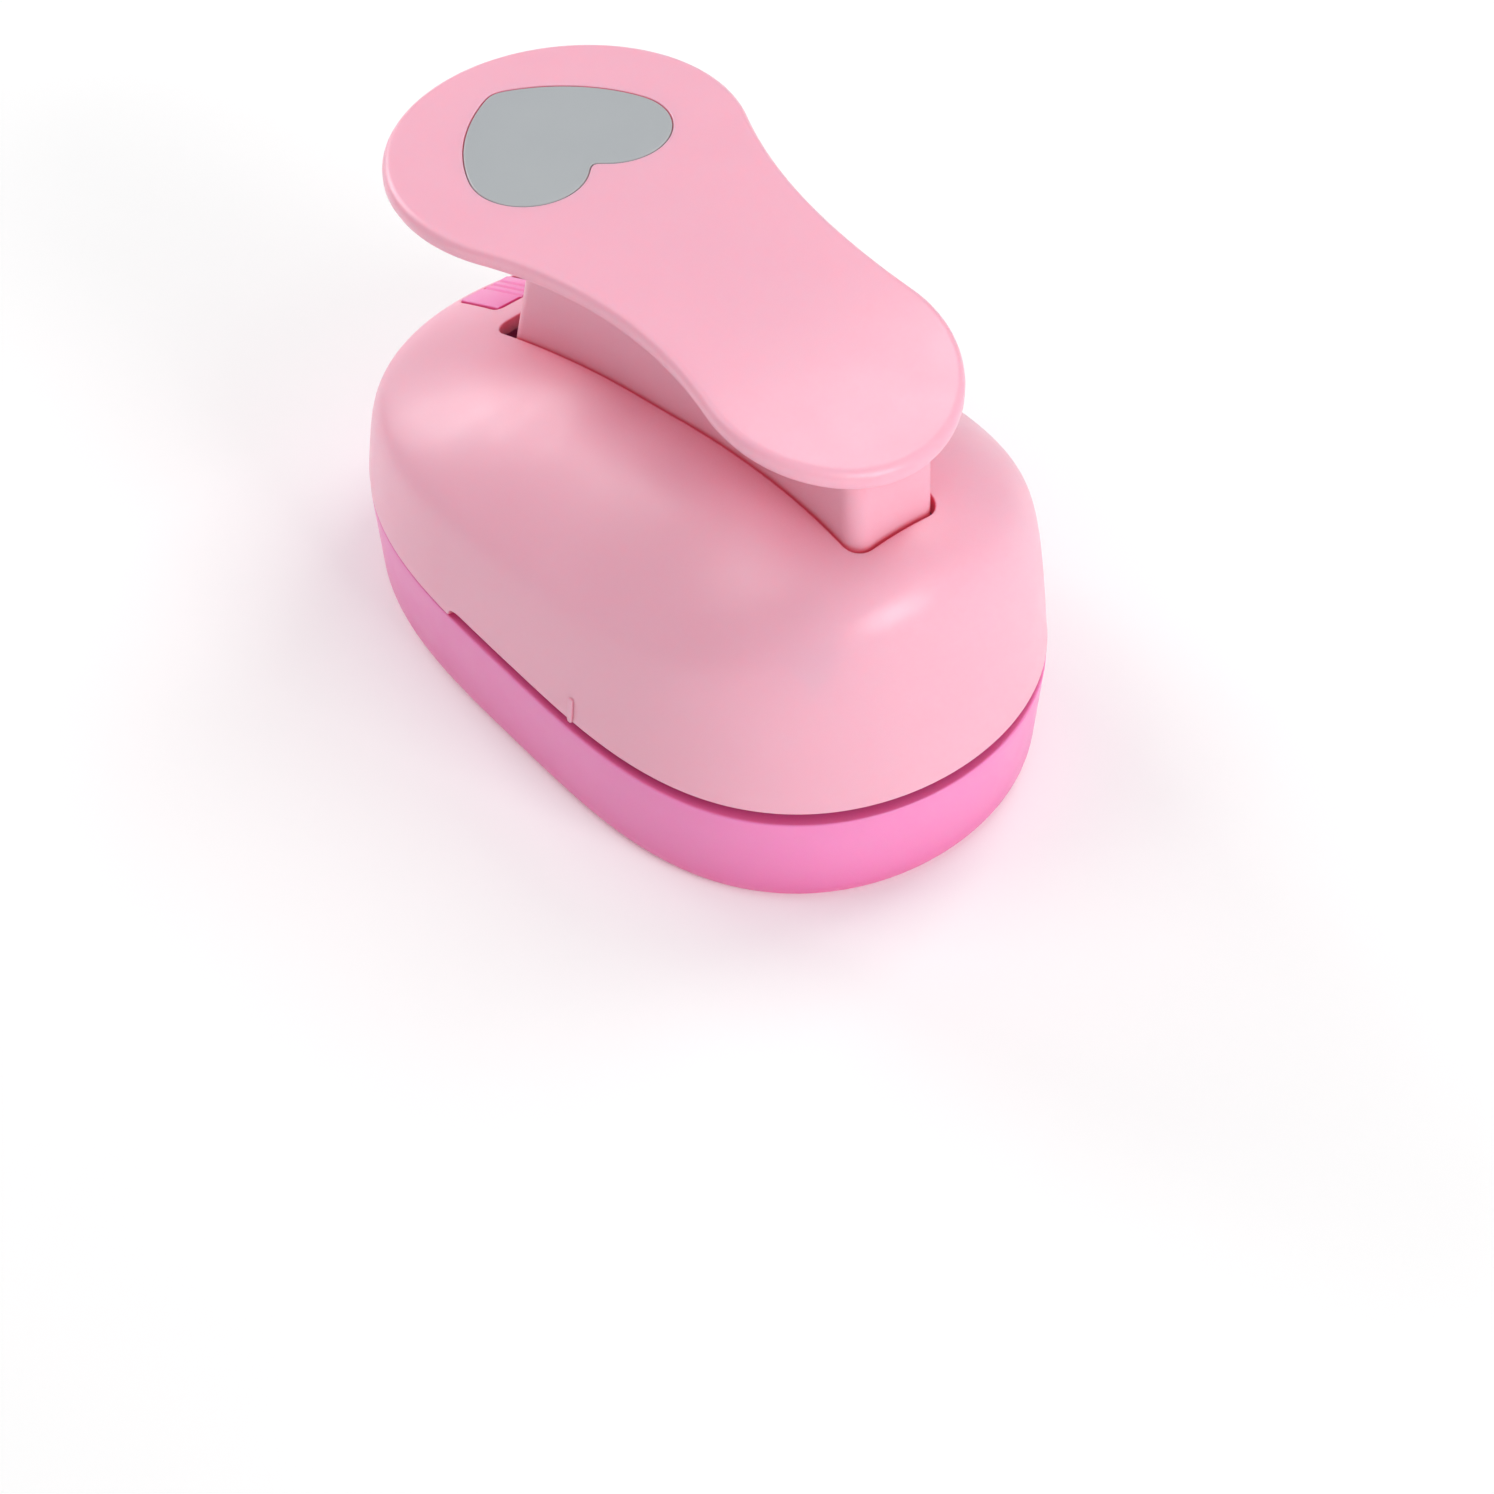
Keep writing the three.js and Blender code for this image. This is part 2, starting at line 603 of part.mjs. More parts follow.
// folded sheet: a base on the guide plate and an ear on each side of the lever
function hingeBracket() {
  const outer = BRACKET_INNER + BRACKET_SHEET;
  const base = [BRACKET_BASE_NEAR_Y, BRACKET_BASE_FAR_Y, GUIDE_TOP, GUIDE_TOP + BRACKET_SHEET];
  let bracket = box(-outer, outer, ...base);
  const crown = HINGE_BOSS_R - 0.5;
  const ear = new THREE.Shape();
  ear.moveTo(BRACKET_BASE_NEAR_Y + 3, GUIDE_TOP + BRACKET_SHEET / 2);
  ear.lineTo(BRACKET_BASE_FAR_Y, GUIDE_TOP + BRACKET_SHEET / 2);
  ear.lineTo(HINGE_Y + crown, HINGE_Z);
  ear.absarc(HINGE_Y, HINGE_Z, crown, 0, Math.PI, false);
  for (const [, side] of SIDES) {
    bracket = bracket.add(crossPrism(ear, ...ordered(side * BRACKET_INNER, side * outer), 6));
    bracket = bracket.subtract(rod(RIVET_R + RUNNING_GAP, 0, TALL, side * RIVET[0], RIVET[1]));
  }
  return bracket.subtract(crossRod(HINGE_PIN_R + RUNNING_GAP, -WIDE, WIDE, HINGE_Y, HINGE_Z));
}

function hingePin() {
  let pin = crossRod(HINGE_PIN_R, -PIN_HALF, PIN_HALF, HINGE_Y, HINGE_Z);
  const groove = HINGE_PIN_R - GROOVE_DEPTH;
  for (const [, side] of SIDES) {
    const faces = ordered(side * (PIN_CLIP_X - 0.05), side * (PIN_CLIP_X + CLIP_THICKNESS + 0.05));
    const ring = crossRod(HINGE_PIN_R + 1, ...faces, HINGE_Y, HINGE_Z);
    pin = pin.subtract(ring.subtract(crossRod(groove, -PIN_HALF - 1, PIN_HALF + 1, HINGE_Y, HINGE_Z)));
  }
  return pin;
}

function pinClip(side) {
  const faces = ordered(side * PIN_CLIP_X, side * (PIN_CLIP_X + CLIP_THICKNESS));
  const ring = clipShape(HINGE_PIN_R - GROOVE_DEPTH + 0.05, HINGE_PIN_R * 1.8);
  return crossPrism(ring, ...faces, 8).translate(0, HINGE_Y, HINGE_Z);
}

function bracketRivet(x) {
  const seat = GUIDE_TOP + BRACKET_SHEET;
  return turned([
    [0, GUIDE_Z + 0.1],
    [RIVET_R, GUIDE_Z + 0.1],
    [RIVET_R, seat],
    [RIVET_R + 0.9, seat],
    [RIVET_R + 0.7, seat + 0.7],
    [0, seat + 1],
  ], x, RIVET[1], 20);
}

// ---------- lever ----------

function leverShell() {
  const plate = prism(plateShape(), SKIRT_FAR_BOTTOM_Z, TALL, 10).intersect(crownBand(0, PLATE_THICKNESS));
  // skirt seen from the side; the far face leans in towards the top
  const under = (y) => leverTop(y) - PLATE_THICKNESS / 2;
  const farTop = SKIRT_FAR_Y - SKIRT_FAR_LEAN * 34;
  const outer = polygon([
    [SKIRT_NEAR_Y - 0.3, HINGE_Z + 3],
    [-39, 41],
    [-36, 43.5],
    [-10, 48],
    [SKIRT_FAR_Y, SKIRT_FAR_BOTTOM_Z],
    [farTop, under(farTop)],
    [10, under(10)],
    [-15, under(-15)],
    [-42.2, under(-42.2)],
  ]);
  const ceiling = (y) => leverTop(y) - PLATE_THICKNESS - 0.2;
  const inner = polygon([
    [SKIRT_NEAR_Y + 2, 30],
    [SKIRT_FAR_Y - 1.6, 30],
    [SKIRT_FAR_Y - 2.2, SKIRT_FAR_BOTTOM_Z],
    [farTop - 2.2, ceiling(farTop) - 0.4],
    [10, ceiling(10)],
    [-15, ceiling(-15)],
    [SKIRT_NEAR_Y + 3, ceiling(-42)],
  ]);
  const corners = roundedRect(-SKIRT_HALF, SKIRT_HALF, SKIRT_NEAR_Y - 0.4, SKIRT_FAR_Y, SKIRT_CORNER_R);
  const wallHalf = SKIRT_HALF - SKIRT_WALL;
  let skirt = crossPrism(outer, -SKIRT_HALF, SKIRT_HALF).intersect(prism(corners, 0, TALL, 5));
  skirt = skirt.subtract(crossPrism(inner, -wallHalf, wallHalf));
  // hinge boss and the nose that presses the ram
  skirt = skirt.add(crossRod(HINGE_BOSS_R, -SKIRT_HALF, SKIRT_HALF, HINGE_Y, HINGE_Z, 28));
  skirt = skirt.add(crossRod(NOSE_R, -SKIRT_HALF + 1, SKIRT_HALF - 1, RAM_Y, NOSE_Z, 28));
  // notch for the lock catch in the far wall's lower edge
  const notch = box(CATCH.x0 - 0.1, CATCH.x1 + 0.1, SKIRT_FAR_Y - 6, SKIRT_FAR_Y + 1, 30, CATCH.z1 + 0.1);
  const solid = plate.add(skirt.subtract(notch));
  const recess = prism(heartShape(BADGE, 0.1), HINGE_Z, TALL).intersect(crownBand(-5, BADGE_THICKNESS + 0.1));
  return solid.subtract(recess).subtract(crossRod(HINGE_PIN_R + RUNNING_GAP, -WIDE, WIDE, HINGE_Y, HINGE_Z));
}

function leverBadge() {
  return prism(heartShape(BADGE), HINGE_Z, TALL).intersect(crownBand(0.05, BADGE_THICKNESS));
}

// bent steel tab: a flange against the inside of the skirt's far wall and a tongue out through the notch
function lockCatch() {
  const wallSlope = 0.2527;
  const inside = (z) => SKIRT_FAR_Y - 2.3 - wallSlope * (z - SKIRT_FAR_BOTTOM_Z);
  const topZ = CATCH.z0 + CATCH.height;
  const tab = polygon([
    [CATCH.tipY, CATCH.z0],
    [CATCH.tipY, CATCH.z1],
    [inside(CATCH.z1), CATCH.z1],
    [inside(topZ), topZ],
    [inside(topZ) - CATCH.sheet, topZ],
    [inside(CATCH.z0) - CATCH.sheet, CATCH.z0],
  ]);
  return crossPrism(tab, CATCH.x0, CATCH.x1);
}

// ---------- lock ----------

// thumb piece in the window, a wider foot behind the housing wall and an arm that reaches over the catch
function lockSlider() {
  const x0 = WINDOW.x0 + 0.3;
  const x1 = x0 + SLIDER_WIDTH;
  const top = (y) => SLIDER_TOP_Z - SLIDER_SLOPE * (y - WINDOW.y0);
  const near = WINDOW.y0 + 0.3;
  const far = WINDOW.y1 - 0.3;
  const thumb = polygon([
    [near, top(near)],
    [near, top(near) - 5],
    [far, top(far) - 5],
    [far, top(far)],
  ]);
  const footNear = near - 1.6;
  const footFar = far - 2.6;
  const foot = polygon([
    [footNear, top(footNear) - 4.2],
    [footNear, top(footNear) - 5.6],
    [footFar, top(footFar) - 5.6],
    [footFar, top(footFar) - 4.2],
  ]);
  const root = top(near) - 4.6;
  const armTop = SLIDER_ARM_Z + SLIDER_ARM_THICKNESS;
  const arm = polygon([
    [near - 1.4, root],
    [near - 2.6, armTop],
    [SLIDER_ARM_TIP_Y, armTop],
    [SLIDER_ARM_TIP_Y, SLIDER_ARM_Z],
    [near - 1, SLIDER_ARM_Z],
    [near - 1, root],
  ]);
  const footOverhang = 0.6;
  let slider = crossPrism(thumb, x0, x1).add(crossPrism(foot, x0 - footOverhang, x1 + footOverhang));
  const armX = x0 + 0.4;
  slider = slider.add(crossPrism(arm, armX, armX + SLIDER_ARM_WIDTH));
  // grip grooves across the thumb piece
  const grooveDepth = 0.5;
  const groove = polygon([
    [near - 1, top(near - 1) - grooveDepth],
    [far + 1, top(far + 1) - grooveDepth],
    [far + 1, TALL],
    [near - 1, TALL],
  ]);
  for (const share of [0.5, 0.65, 0.8]) {
    const x = x0 + SLIDER_WIDTH * share;
    slider = slider.subtract(crossPrism(groove, x - 0.3, x + 0.3));
  }
  return slider;
}

// ---------- fasteners ----------

// cross recess pressed into a screw head whose face is at z; dir is +1 when the face looks up
function crossRecess(x, y, z, dir) {
  const levels = ordered(z - dir, z + dir / 2);
  const [reach, half] = [1.5, 0.3];
  const across = box(x - reach, x + reach, y - half, y + half, ...levels);
  return across.add(box(x - half, x + half, y - reach, y + reach, ...levels));
}

// pan-head screw driven up from under the tray
function traySeatScrew(x, y, topZ) {
  const face = 0.9;
  const seat = SCREW_HEAD_H + face;
  const chamfer = 0.6;
  const body = turned([
    [0, face],
    [SCREW_HEAD_R - chamfer, face],
    [SCREW_HEAD_R, face + chamfer],
    [SCREW_HEAD_R, seat],
    [SCREW_SHANK_R, seat],
    [SCREW_SHANK_R, topZ - chamfer],
    [SCREW_SHANK_R - chamfer, topZ],
    [0, topZ],
  ], x, y);
  return body.subtract(crossRecess(x, y, face, -1));
}

// profile of a countersunk screw whose head is flush with the guide plate's underside, or of its hole
function countersunk(grow, topZ) {
  const face = GUIDE_Z + 0.1;
  const start = grow > 0 ? face - 1 : face;
  return [
    [0, start],
    [SCREW_HEAD_R + grow, start],
    [SCREW_HEAD_R + grow, face + grow],
    [SCREW_SHANK_R + grow, face + grow + 1.5],
    [SCREW_SHANK_R + grow, topZ],
    [0, topZ],
  ];
}

function guideScrew(x, y) {
  const body = turned(countersunk(0, GUIDE_TOP + HOUSING_SCREW_BITE), x, y);
  return body.subtract(crossRecess(x, y, GUIDE_Z + 0.1, -1));
}

// screw down through the ram plate into the cutter
function ramScrew(x) {
  const point = CUTTER_TOP - RAM_SCREW_BITE;
  const headR = RAM_SCREW_R + 1;
  const headTop = RAM_TOP + 1.4;
  const body = turned([
    [0, point],
    [RAM_SCREW_R, point],
    [RAM_SCREW_R, RAM_TOP],
    [headR, RAM_TOP],
    [headR, headTop - 0.4],
    [headR - 0.5, headTop],
    [0, headTop],
  ], x, RAM_Y, 20);
  return body.subtract(crossRecess(x, RAM_Y, headTop, 1));
}

// ---------- assembly ----------

const punch = new THREE.Group();

function place(name, solid, material) {
  const mesh = new THREE.Mesh(toGeometry(solid), material);
  mesh.name = name;
  punch.add(mesh);
}

place('upper_housing', upperHousing(), PINK);
place('base_tray', baseTray(), MAGENTA);
place('die_plate', diePlate(), ZINC);
place('throat_spacer', throatSpacer(), STEEL);
place('guide_plate', guidePlate(), ZINC);
place('hinge_bracket', hingeBracket(), STEEL);
place('hinge_pin', hingePin(), STEEL);
place('lever', leverShell(), PINK);
place('lever_badge', leverBadge(), BADGE_GREY);
place('lock_catch', lockCatch(), STEEL);
place('lock_slider', lockSlider(), MAGENTA);
place('cutter', cutter(), ZINC);
place('ram_plate', ramPlate(), STEEL);
place('ram_button', ramButton(), NYLON);
for (const [name, side] of SIDES) {
  const [nearX, rearX] = [side * NEAR_SCREW[0], side * REAR_SCREW[0]];
  const dowel = rod(DOWEL_R, DIE_Z + 0.2, GUIDE_TOP - 0.2, side * DOWEL[0], DOWEL[1]);
  place(`pin_clip_${name}`, pinClip(side), SPRING_STEEL);
  place(`bracket_rivet_${name}`, bracketRivet(side * RIVET[0]), STEEL);
  place(`guide_post_${name}`, guidePost(side * POST_X), STEEL);
  place(`post_clip_${name}`, postClip(side * POST_X), SPRING_STEEL);
  place(`return_spring_${name}`, returnSpring(side * POST_X), SPRING_STEEL);
  place(`ram_bush_${name}`, bush(side * POST_X), BRASS);
  place(`ram_screw_${name}`, ramScrew(side * RAM_SCREW_X), STEEL);
  place(`tray_screw_${name}`, traySeatScrew(nearX, NEAR_SCREW[1], THROAT_FLOOR - 1.3), STEEL);
  place(`housing_screw_${name}`, traySeatScrew(rearX, REAR_SCREW[1], GUIDE_TOP + HOUSING_SCREW_BITE), STEEL);
  place(`guide_screw_${name}`, guideScrew(nearX, NEAR_SCREW[1]), STEEL);
  place(`die_dowel_${name}`, dowel, STEEL);
}

punch.position.y = (LENGTH_NEAR - LENGTH_FAR) / 2;

export default punch;
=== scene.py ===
"""Looks of the lever craft punch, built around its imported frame.

Shapes are drawn in millimetres with y = 0 on the body's widest line; ORIGIN moves them into the
frame, and every mesh is stored in metres. +Z is up, the paper throat opens towards -Y.
"""

import json
from math import atan2, cos, pi, radians, sin, sqrt, tau

import bmesh
import bpy
import numpy as np
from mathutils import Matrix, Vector
from mathutils.geometry import delaunay_2d_cdt


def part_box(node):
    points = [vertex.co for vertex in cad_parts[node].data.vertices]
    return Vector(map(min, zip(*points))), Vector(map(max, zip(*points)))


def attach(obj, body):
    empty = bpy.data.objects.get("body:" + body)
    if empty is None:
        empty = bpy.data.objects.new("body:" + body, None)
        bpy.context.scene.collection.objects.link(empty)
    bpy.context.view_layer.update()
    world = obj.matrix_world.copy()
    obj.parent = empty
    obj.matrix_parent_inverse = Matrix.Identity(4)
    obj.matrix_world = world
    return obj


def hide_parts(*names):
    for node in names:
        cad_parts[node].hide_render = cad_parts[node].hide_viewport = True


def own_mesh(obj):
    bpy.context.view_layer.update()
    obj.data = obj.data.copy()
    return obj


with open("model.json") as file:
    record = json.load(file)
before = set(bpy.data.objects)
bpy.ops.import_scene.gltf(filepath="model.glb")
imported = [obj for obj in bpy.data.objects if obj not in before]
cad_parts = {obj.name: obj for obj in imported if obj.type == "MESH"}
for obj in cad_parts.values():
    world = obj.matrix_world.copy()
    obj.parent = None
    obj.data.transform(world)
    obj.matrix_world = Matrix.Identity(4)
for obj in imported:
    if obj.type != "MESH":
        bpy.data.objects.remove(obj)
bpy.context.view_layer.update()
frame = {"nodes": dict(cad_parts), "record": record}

MM = 0.001
SIDES = (("left", -1), ("right", 1))
LOW, HIGH = 0, 1

# the ram's button sits on this line of the drawing
RAM_Y = -15.6
button_low, button_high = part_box("ram_button")
ORIGIN = np.array([0.0, (button_low.y + button_high.y) / 2 / MM - RAM_Y, 0.0])


def node_box(name):
    """Lowest and highest corner of a CAD node, in drawing millimetres."""
    low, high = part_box(name)
    return np.array(low) / MM - ORIGIN, np.array(high) / MM - ORIGIN


# ---------- sizes read from the frame ----------

tray_low, tray_high = node_box("base_tray")
slider_low, slider_high = node_box("lock_slider")
catch_low, catch_high = node_box("lock_catch")
pin_low, pin_high = node_box("hinge_pin")

HALF_WIDTH = tray_high[0]
NEAR = -tray_low[1]
FAR = tray_high[1]
DECK_Z = tray_high[2]
PARTING_Z = node_box("upper_housing")[LOW][2]
DIE_Z = node_box("die_plate")[LOW][2]
GUIDE_TOP = node_box("guide_plate")[HIGH][2]
THROAT_STOP_Y = node_box("throat_spacer")[LOW][1]
CUTTER_TOP = node_box("cutter")[HIGH][2]
BUTTON_TOP = button_high.z / MM
HINGE_Y = (pin_low[1] + pin_high[1]) / 2
HINGE_Z = (pin_low[2] + pin_high[2]) / 2

# ---------- shape laws of the moulding ----------

PLAN_POWER = 3.34
HOUSING_RIM = 20.4
WALL = 2.2
WALL_STEEPNESS = 500
CROWN_DROP = 0.54
SHOULDER_SHARPNESS = 3

SLOT_HALF = 8.1
SLOT_NEAR_Y = -43.7
SLOT_FAR_Y = 42.4
SLOT_CORNER_R = 3
SLOT_LIP_R = 0.3
RIM_SOFT = 0.35
THROAT_LIP_HEIGHT = 1.8
THROAT_LIP_LENGTH = 3.6

WINDOW_X = (-3.4, 11.8)
WINDOW_Y = (47.4, 58.2)
WINDOW_CORNER_R = 1.2
WINDOW_LIP_R = 0.45

PLATE_NEAR_Y = -27.2
PLATE_NEAR_R = 19.3
PLATE_FAR_Y = 31.4
PLATE_FAR_R = 27.2
PLATE_FLANK_R = 73.4
PLATE_THICKNESS = 3.2
PLATE_EDGE_R = 1.3

# the skirt's ends lean in from its open bottom to the plate
SKIRT_HALF = 7.8
SKIRT_WALL = 2
SKIRT_CORNER_R = 3
SKIRT_LOW_Y = (-43.6, 38.9)
SKIRT_HIGH_Y = (-42.2, 29.5)
HINGE_HUB_R = 5
HINGE_BORE_R = 2.08
NOSE_R = 4

HEART = dict(lobe_x=12.2, lobe_r=13.2, side_r=69.3, tip=28.5, y=-23.25, soft=1.2)
BADGE = dict(lobe_x=7.67, lobe_r=8.89, side_r=29.1, tip=19.7, y=30.5, soft=2.4)
BADGE_DEPTH = 0.9

TICK_HALF = 0.5
TICK_HEIGHT = 4.8
TICK_PROUD = 0.4
BOSS_R = 3.6

POST_X = 29
NEAR_SCREW = (18, -46)
REAR_SCREW = (24, 24)
SHANK_R = 1.4

SLIDER_SLOPE = 0.52
SLIDER_GAP = 0.3
SLIDER_PROUD = 0.7
TONGUE_TOP = 41.0
SPRING_R = 2.6
SPRING_WIRE_R = 0.4
SPRING_TURNS = 4


def crown_rise(y):
    """Height of the housing's crown above its rim."""
    t = y / 60
    return 34.4 - 14.2 * t + 10.3 * t**2 - 7.5 * t**3


def lever_top(y):
    """Height of the lever's crowned top."""
    u = y / 50
    return 80.2 + 0.46 * u - 5.75 * u**2 + 2.15 * u**3


def plan_share(x, y, inset=0.0):
    """How far out a point lies: 0 at the centre, 1 on the plan outline, found by halving."""
    half = HALF_WIDTH - inset
    reach = np.where(y > 0, FAR, NEAR) - inset
    low = np.zeros_like(x)
    high = np.full_like(x, 1.5)
    for _ in range(44):
        middle = (low + high) / 2
        spread = (x / (half * middle)) ** 2 + (np.abs(y) / (reach * middle)) ** PLAN_POWER
        outside = spread > 1
        low = np.where(outside, middle, low)
        high = np.where(outside, high, middle)
    return (low + high) / 2


def housing_z(x, y, inset=0.0):
    """Height of the housing's surface; an inset gives the inner surface of the shell."""
    x, y = np.asarray(x, float), np.asarray(y, float)
    share = plan_share(x, y, inset)
    wall = np.maximum(WALL_STEEPNESS * (1 - share), 0) + 1e-4
    top = np.maximum(crown_rise(y) * (1 - CROWN_DROP * share**2) - inset, 1)
    power = SHOULDER_SHARPNESS
    return HOUSING_RIM + (wall**-power + top**-power) ** (-1 / power)


# ---------- outlines: (n, 2) arrays, counter-clockwise ----------


def arc(cx, cy, r, start, end, steps):
    """Points on an arc, both ends included."""
    turn = np.linspace(start, end, steps + 1)
    return np.column_stack([cx + r * np.cos(turn), cy + r * np.sin(turn)])


def circle(cx, cy, r, steps=48):
    """Points on a circle, without a repeated last one."""
    return arc(cx, cy, r, 0, tau, steps)[:-1]


def rounded_rect(x0, x1, y0, y1, r, steps=8, side_steps=1):
    """Rectangle with round corners and its straight sides divided."""
    corners = [
        arc(x1 - r, y0 + r, r, -pi / 2, 0, steps),
        arc(x1 - r, y1 - r, r, 0, pi / 2, steps),
        arc(x0 + r, y1 - r, r, pi / 2, pi, steps),
        arc(x0 + r, y0 + r, r, pi, 1.5 * pi, steps),
    ]
    points = []
    for i, corner in enumerate(corners):
        points.extend(corner)
        after = corners[(i + 1) % 4][0]
        for k in range(1, side_steps):
            points.append(corner[-1] + (after - corner[-1]) * k / side_steps)
    return np.array(points)


def even(points, count):
    """The same closed outline with its points evenly spaced."""
    closed = np.vstack([points, points[:1]])
    along = np.concatenate([[0], np.cumsum(np.linalg.norm(np.diff(closed, axis=0), axis=1))])
    target = np.linspace(0, along[-1], count + 1)[:-1]
    return np.column_stack([np.interp(target, along, closed[:, k]) for k in range(closed.shape[1])])


def normals(points):
    """Outward unit normals of a counter-clockwise outline."""
    along = np.roll(points, -1, axis=0) - np.roll(points, 1, axis=0)
    out = np.column_stack([along[:, 1], -along[:, 0]])
    return out / np.linalg.norm(out, axis=1, keepdims=True)


def grown(points, margin):
    """Outline moved outward by a margin."""
    return points + normals(points) * margin


def plan_point(angle, inset=0.0):
    """Points of the body's plan outline at an array of angles."""
    s = np.sin(angle)
    reach = np.where(s > 0, FAR, NEAR) - inset
    x = (HALF_WIDTH - inset) * np.cos(angle)
    return np.column_stack([x, np.sign(s) * reach * np.abs(s) ** (2 / PLAN_POWER)])


def heart(spec, grow=0.0, count=180):
    """Heart of four arcs with softened tip and notch, tip towards +Y."""
    lobe_x, lobe_r, side_r, tip = (spec[k] for k in ("lobe_x", "lobe_r", "side_r", "tip"))
    gap = sqrt(lobe_x**2 + tip**2)
    along = ((side_r - lobe_r) ** 2 - side_r**2 + gap**2) / (2 * gap)
    across = sqrt((side_r - lobe_r) ** 2 - along**2)
    ux, uy = -lobe_x / gap, -tip / gap
    cx = lobe_x + along * ux + across * uy
    cy = along * uy - across * ux
    lobe_r, side_r = lobe_r + grow, side_r + grow
    tangent = atan2(-cy, lobe_x - cx)
    tip_angle = atan2(-sqrt(side_r**2 - cx**2), -cx)
    notch_angle = atan2(sqrt(lobe_r**2 - lobe_x**2), -lobe_x)
    side = arc(cx, cy, side_r, tip_angle, tangent, 60)
    lobe = arc(lobe_x, 0, lobe_r, tangent, notch_angle, 160)[1:]
    right = np.vstack([side, lobe])
    left = (right * [-1, 1])[::-1]
    sharp = even(np.vstack([right, left[1:-1]]), 720)
    loop = even(softened(sharp, spec["soft"]), count)
    return np.column_stack([loop[:, 0], spec["y"] - loop[:, 1]])[::-1]


def softened(points, radius):
    """Outline with its corners rounded by a moving average about as wide as a corner radius."""
    step = np.linalg.norm(points[1] - points[0])
    reach = max(1, int(round(radius * 0.5 / step)))
    kernel = range(-reach, reach + 1)
    once = sum(np.roll(points, k, axis=0) for k in kernel) / len(kernel)
    return sum(np.roll(once, k, axis=0) for k in kernel) / len(kernel)


def plate_outline(count=240):
    """Lever plate seen from above: two round ends joined by hollow flanks."""
    d = PLATE_FAR_Y - PLATE_NEAR_Y
    a = PLATE_NEAR_R + PLATE_FLANK_R
    b = PLATE_FAR_R + PLATE_FLANK_R
    up = (d**2 + a**2 - b**2) / (2 * d)
    out = sqrt(a**2 - up**2)
    near_angle = atan2(up, out)
    far_angle = atan2(d - up, out)
    flank_y = PLATE_NEAR_Y + up
    right = np.vstack([
        arc(0, PLATE_NEAR_Y, PLATE_NEAR_R, -pi / 2, near_angle, 80),
        arc(out, flank_y, PLATE_FLANK_R, pi + near_angle, pi - far_angle, 60)[1:],
        arc(0, PLATE_FAR_Y, PLATE_FAR_R, -far_angle, pi / 2, 100)[1:],
    ])
    left = (right * [-1, 1])[::-1]
    return even(np.vstack([right, left[1:-1]]), count)


# ---------- surfaces ----------


def inside(points, loop):
    """Which points lie inside a closed outline."""
    x, y = points[:, 0:1], points[:, 1:2]
    x0, y0 = loop[:, 0], loop[:, 1]
    x1, y1 = np.roll(x0, -1), np.roll(y0, -1)
    crosses = (y0 > y) != (y1 > y)
    rise = np.where(y1 == y0, 1e-12, y1 - y0)
    hit = crosses & (x < (x1 - x0) * (y - y0) / rise + x0)
    return hit.sum(axis=1) % 2 == 1


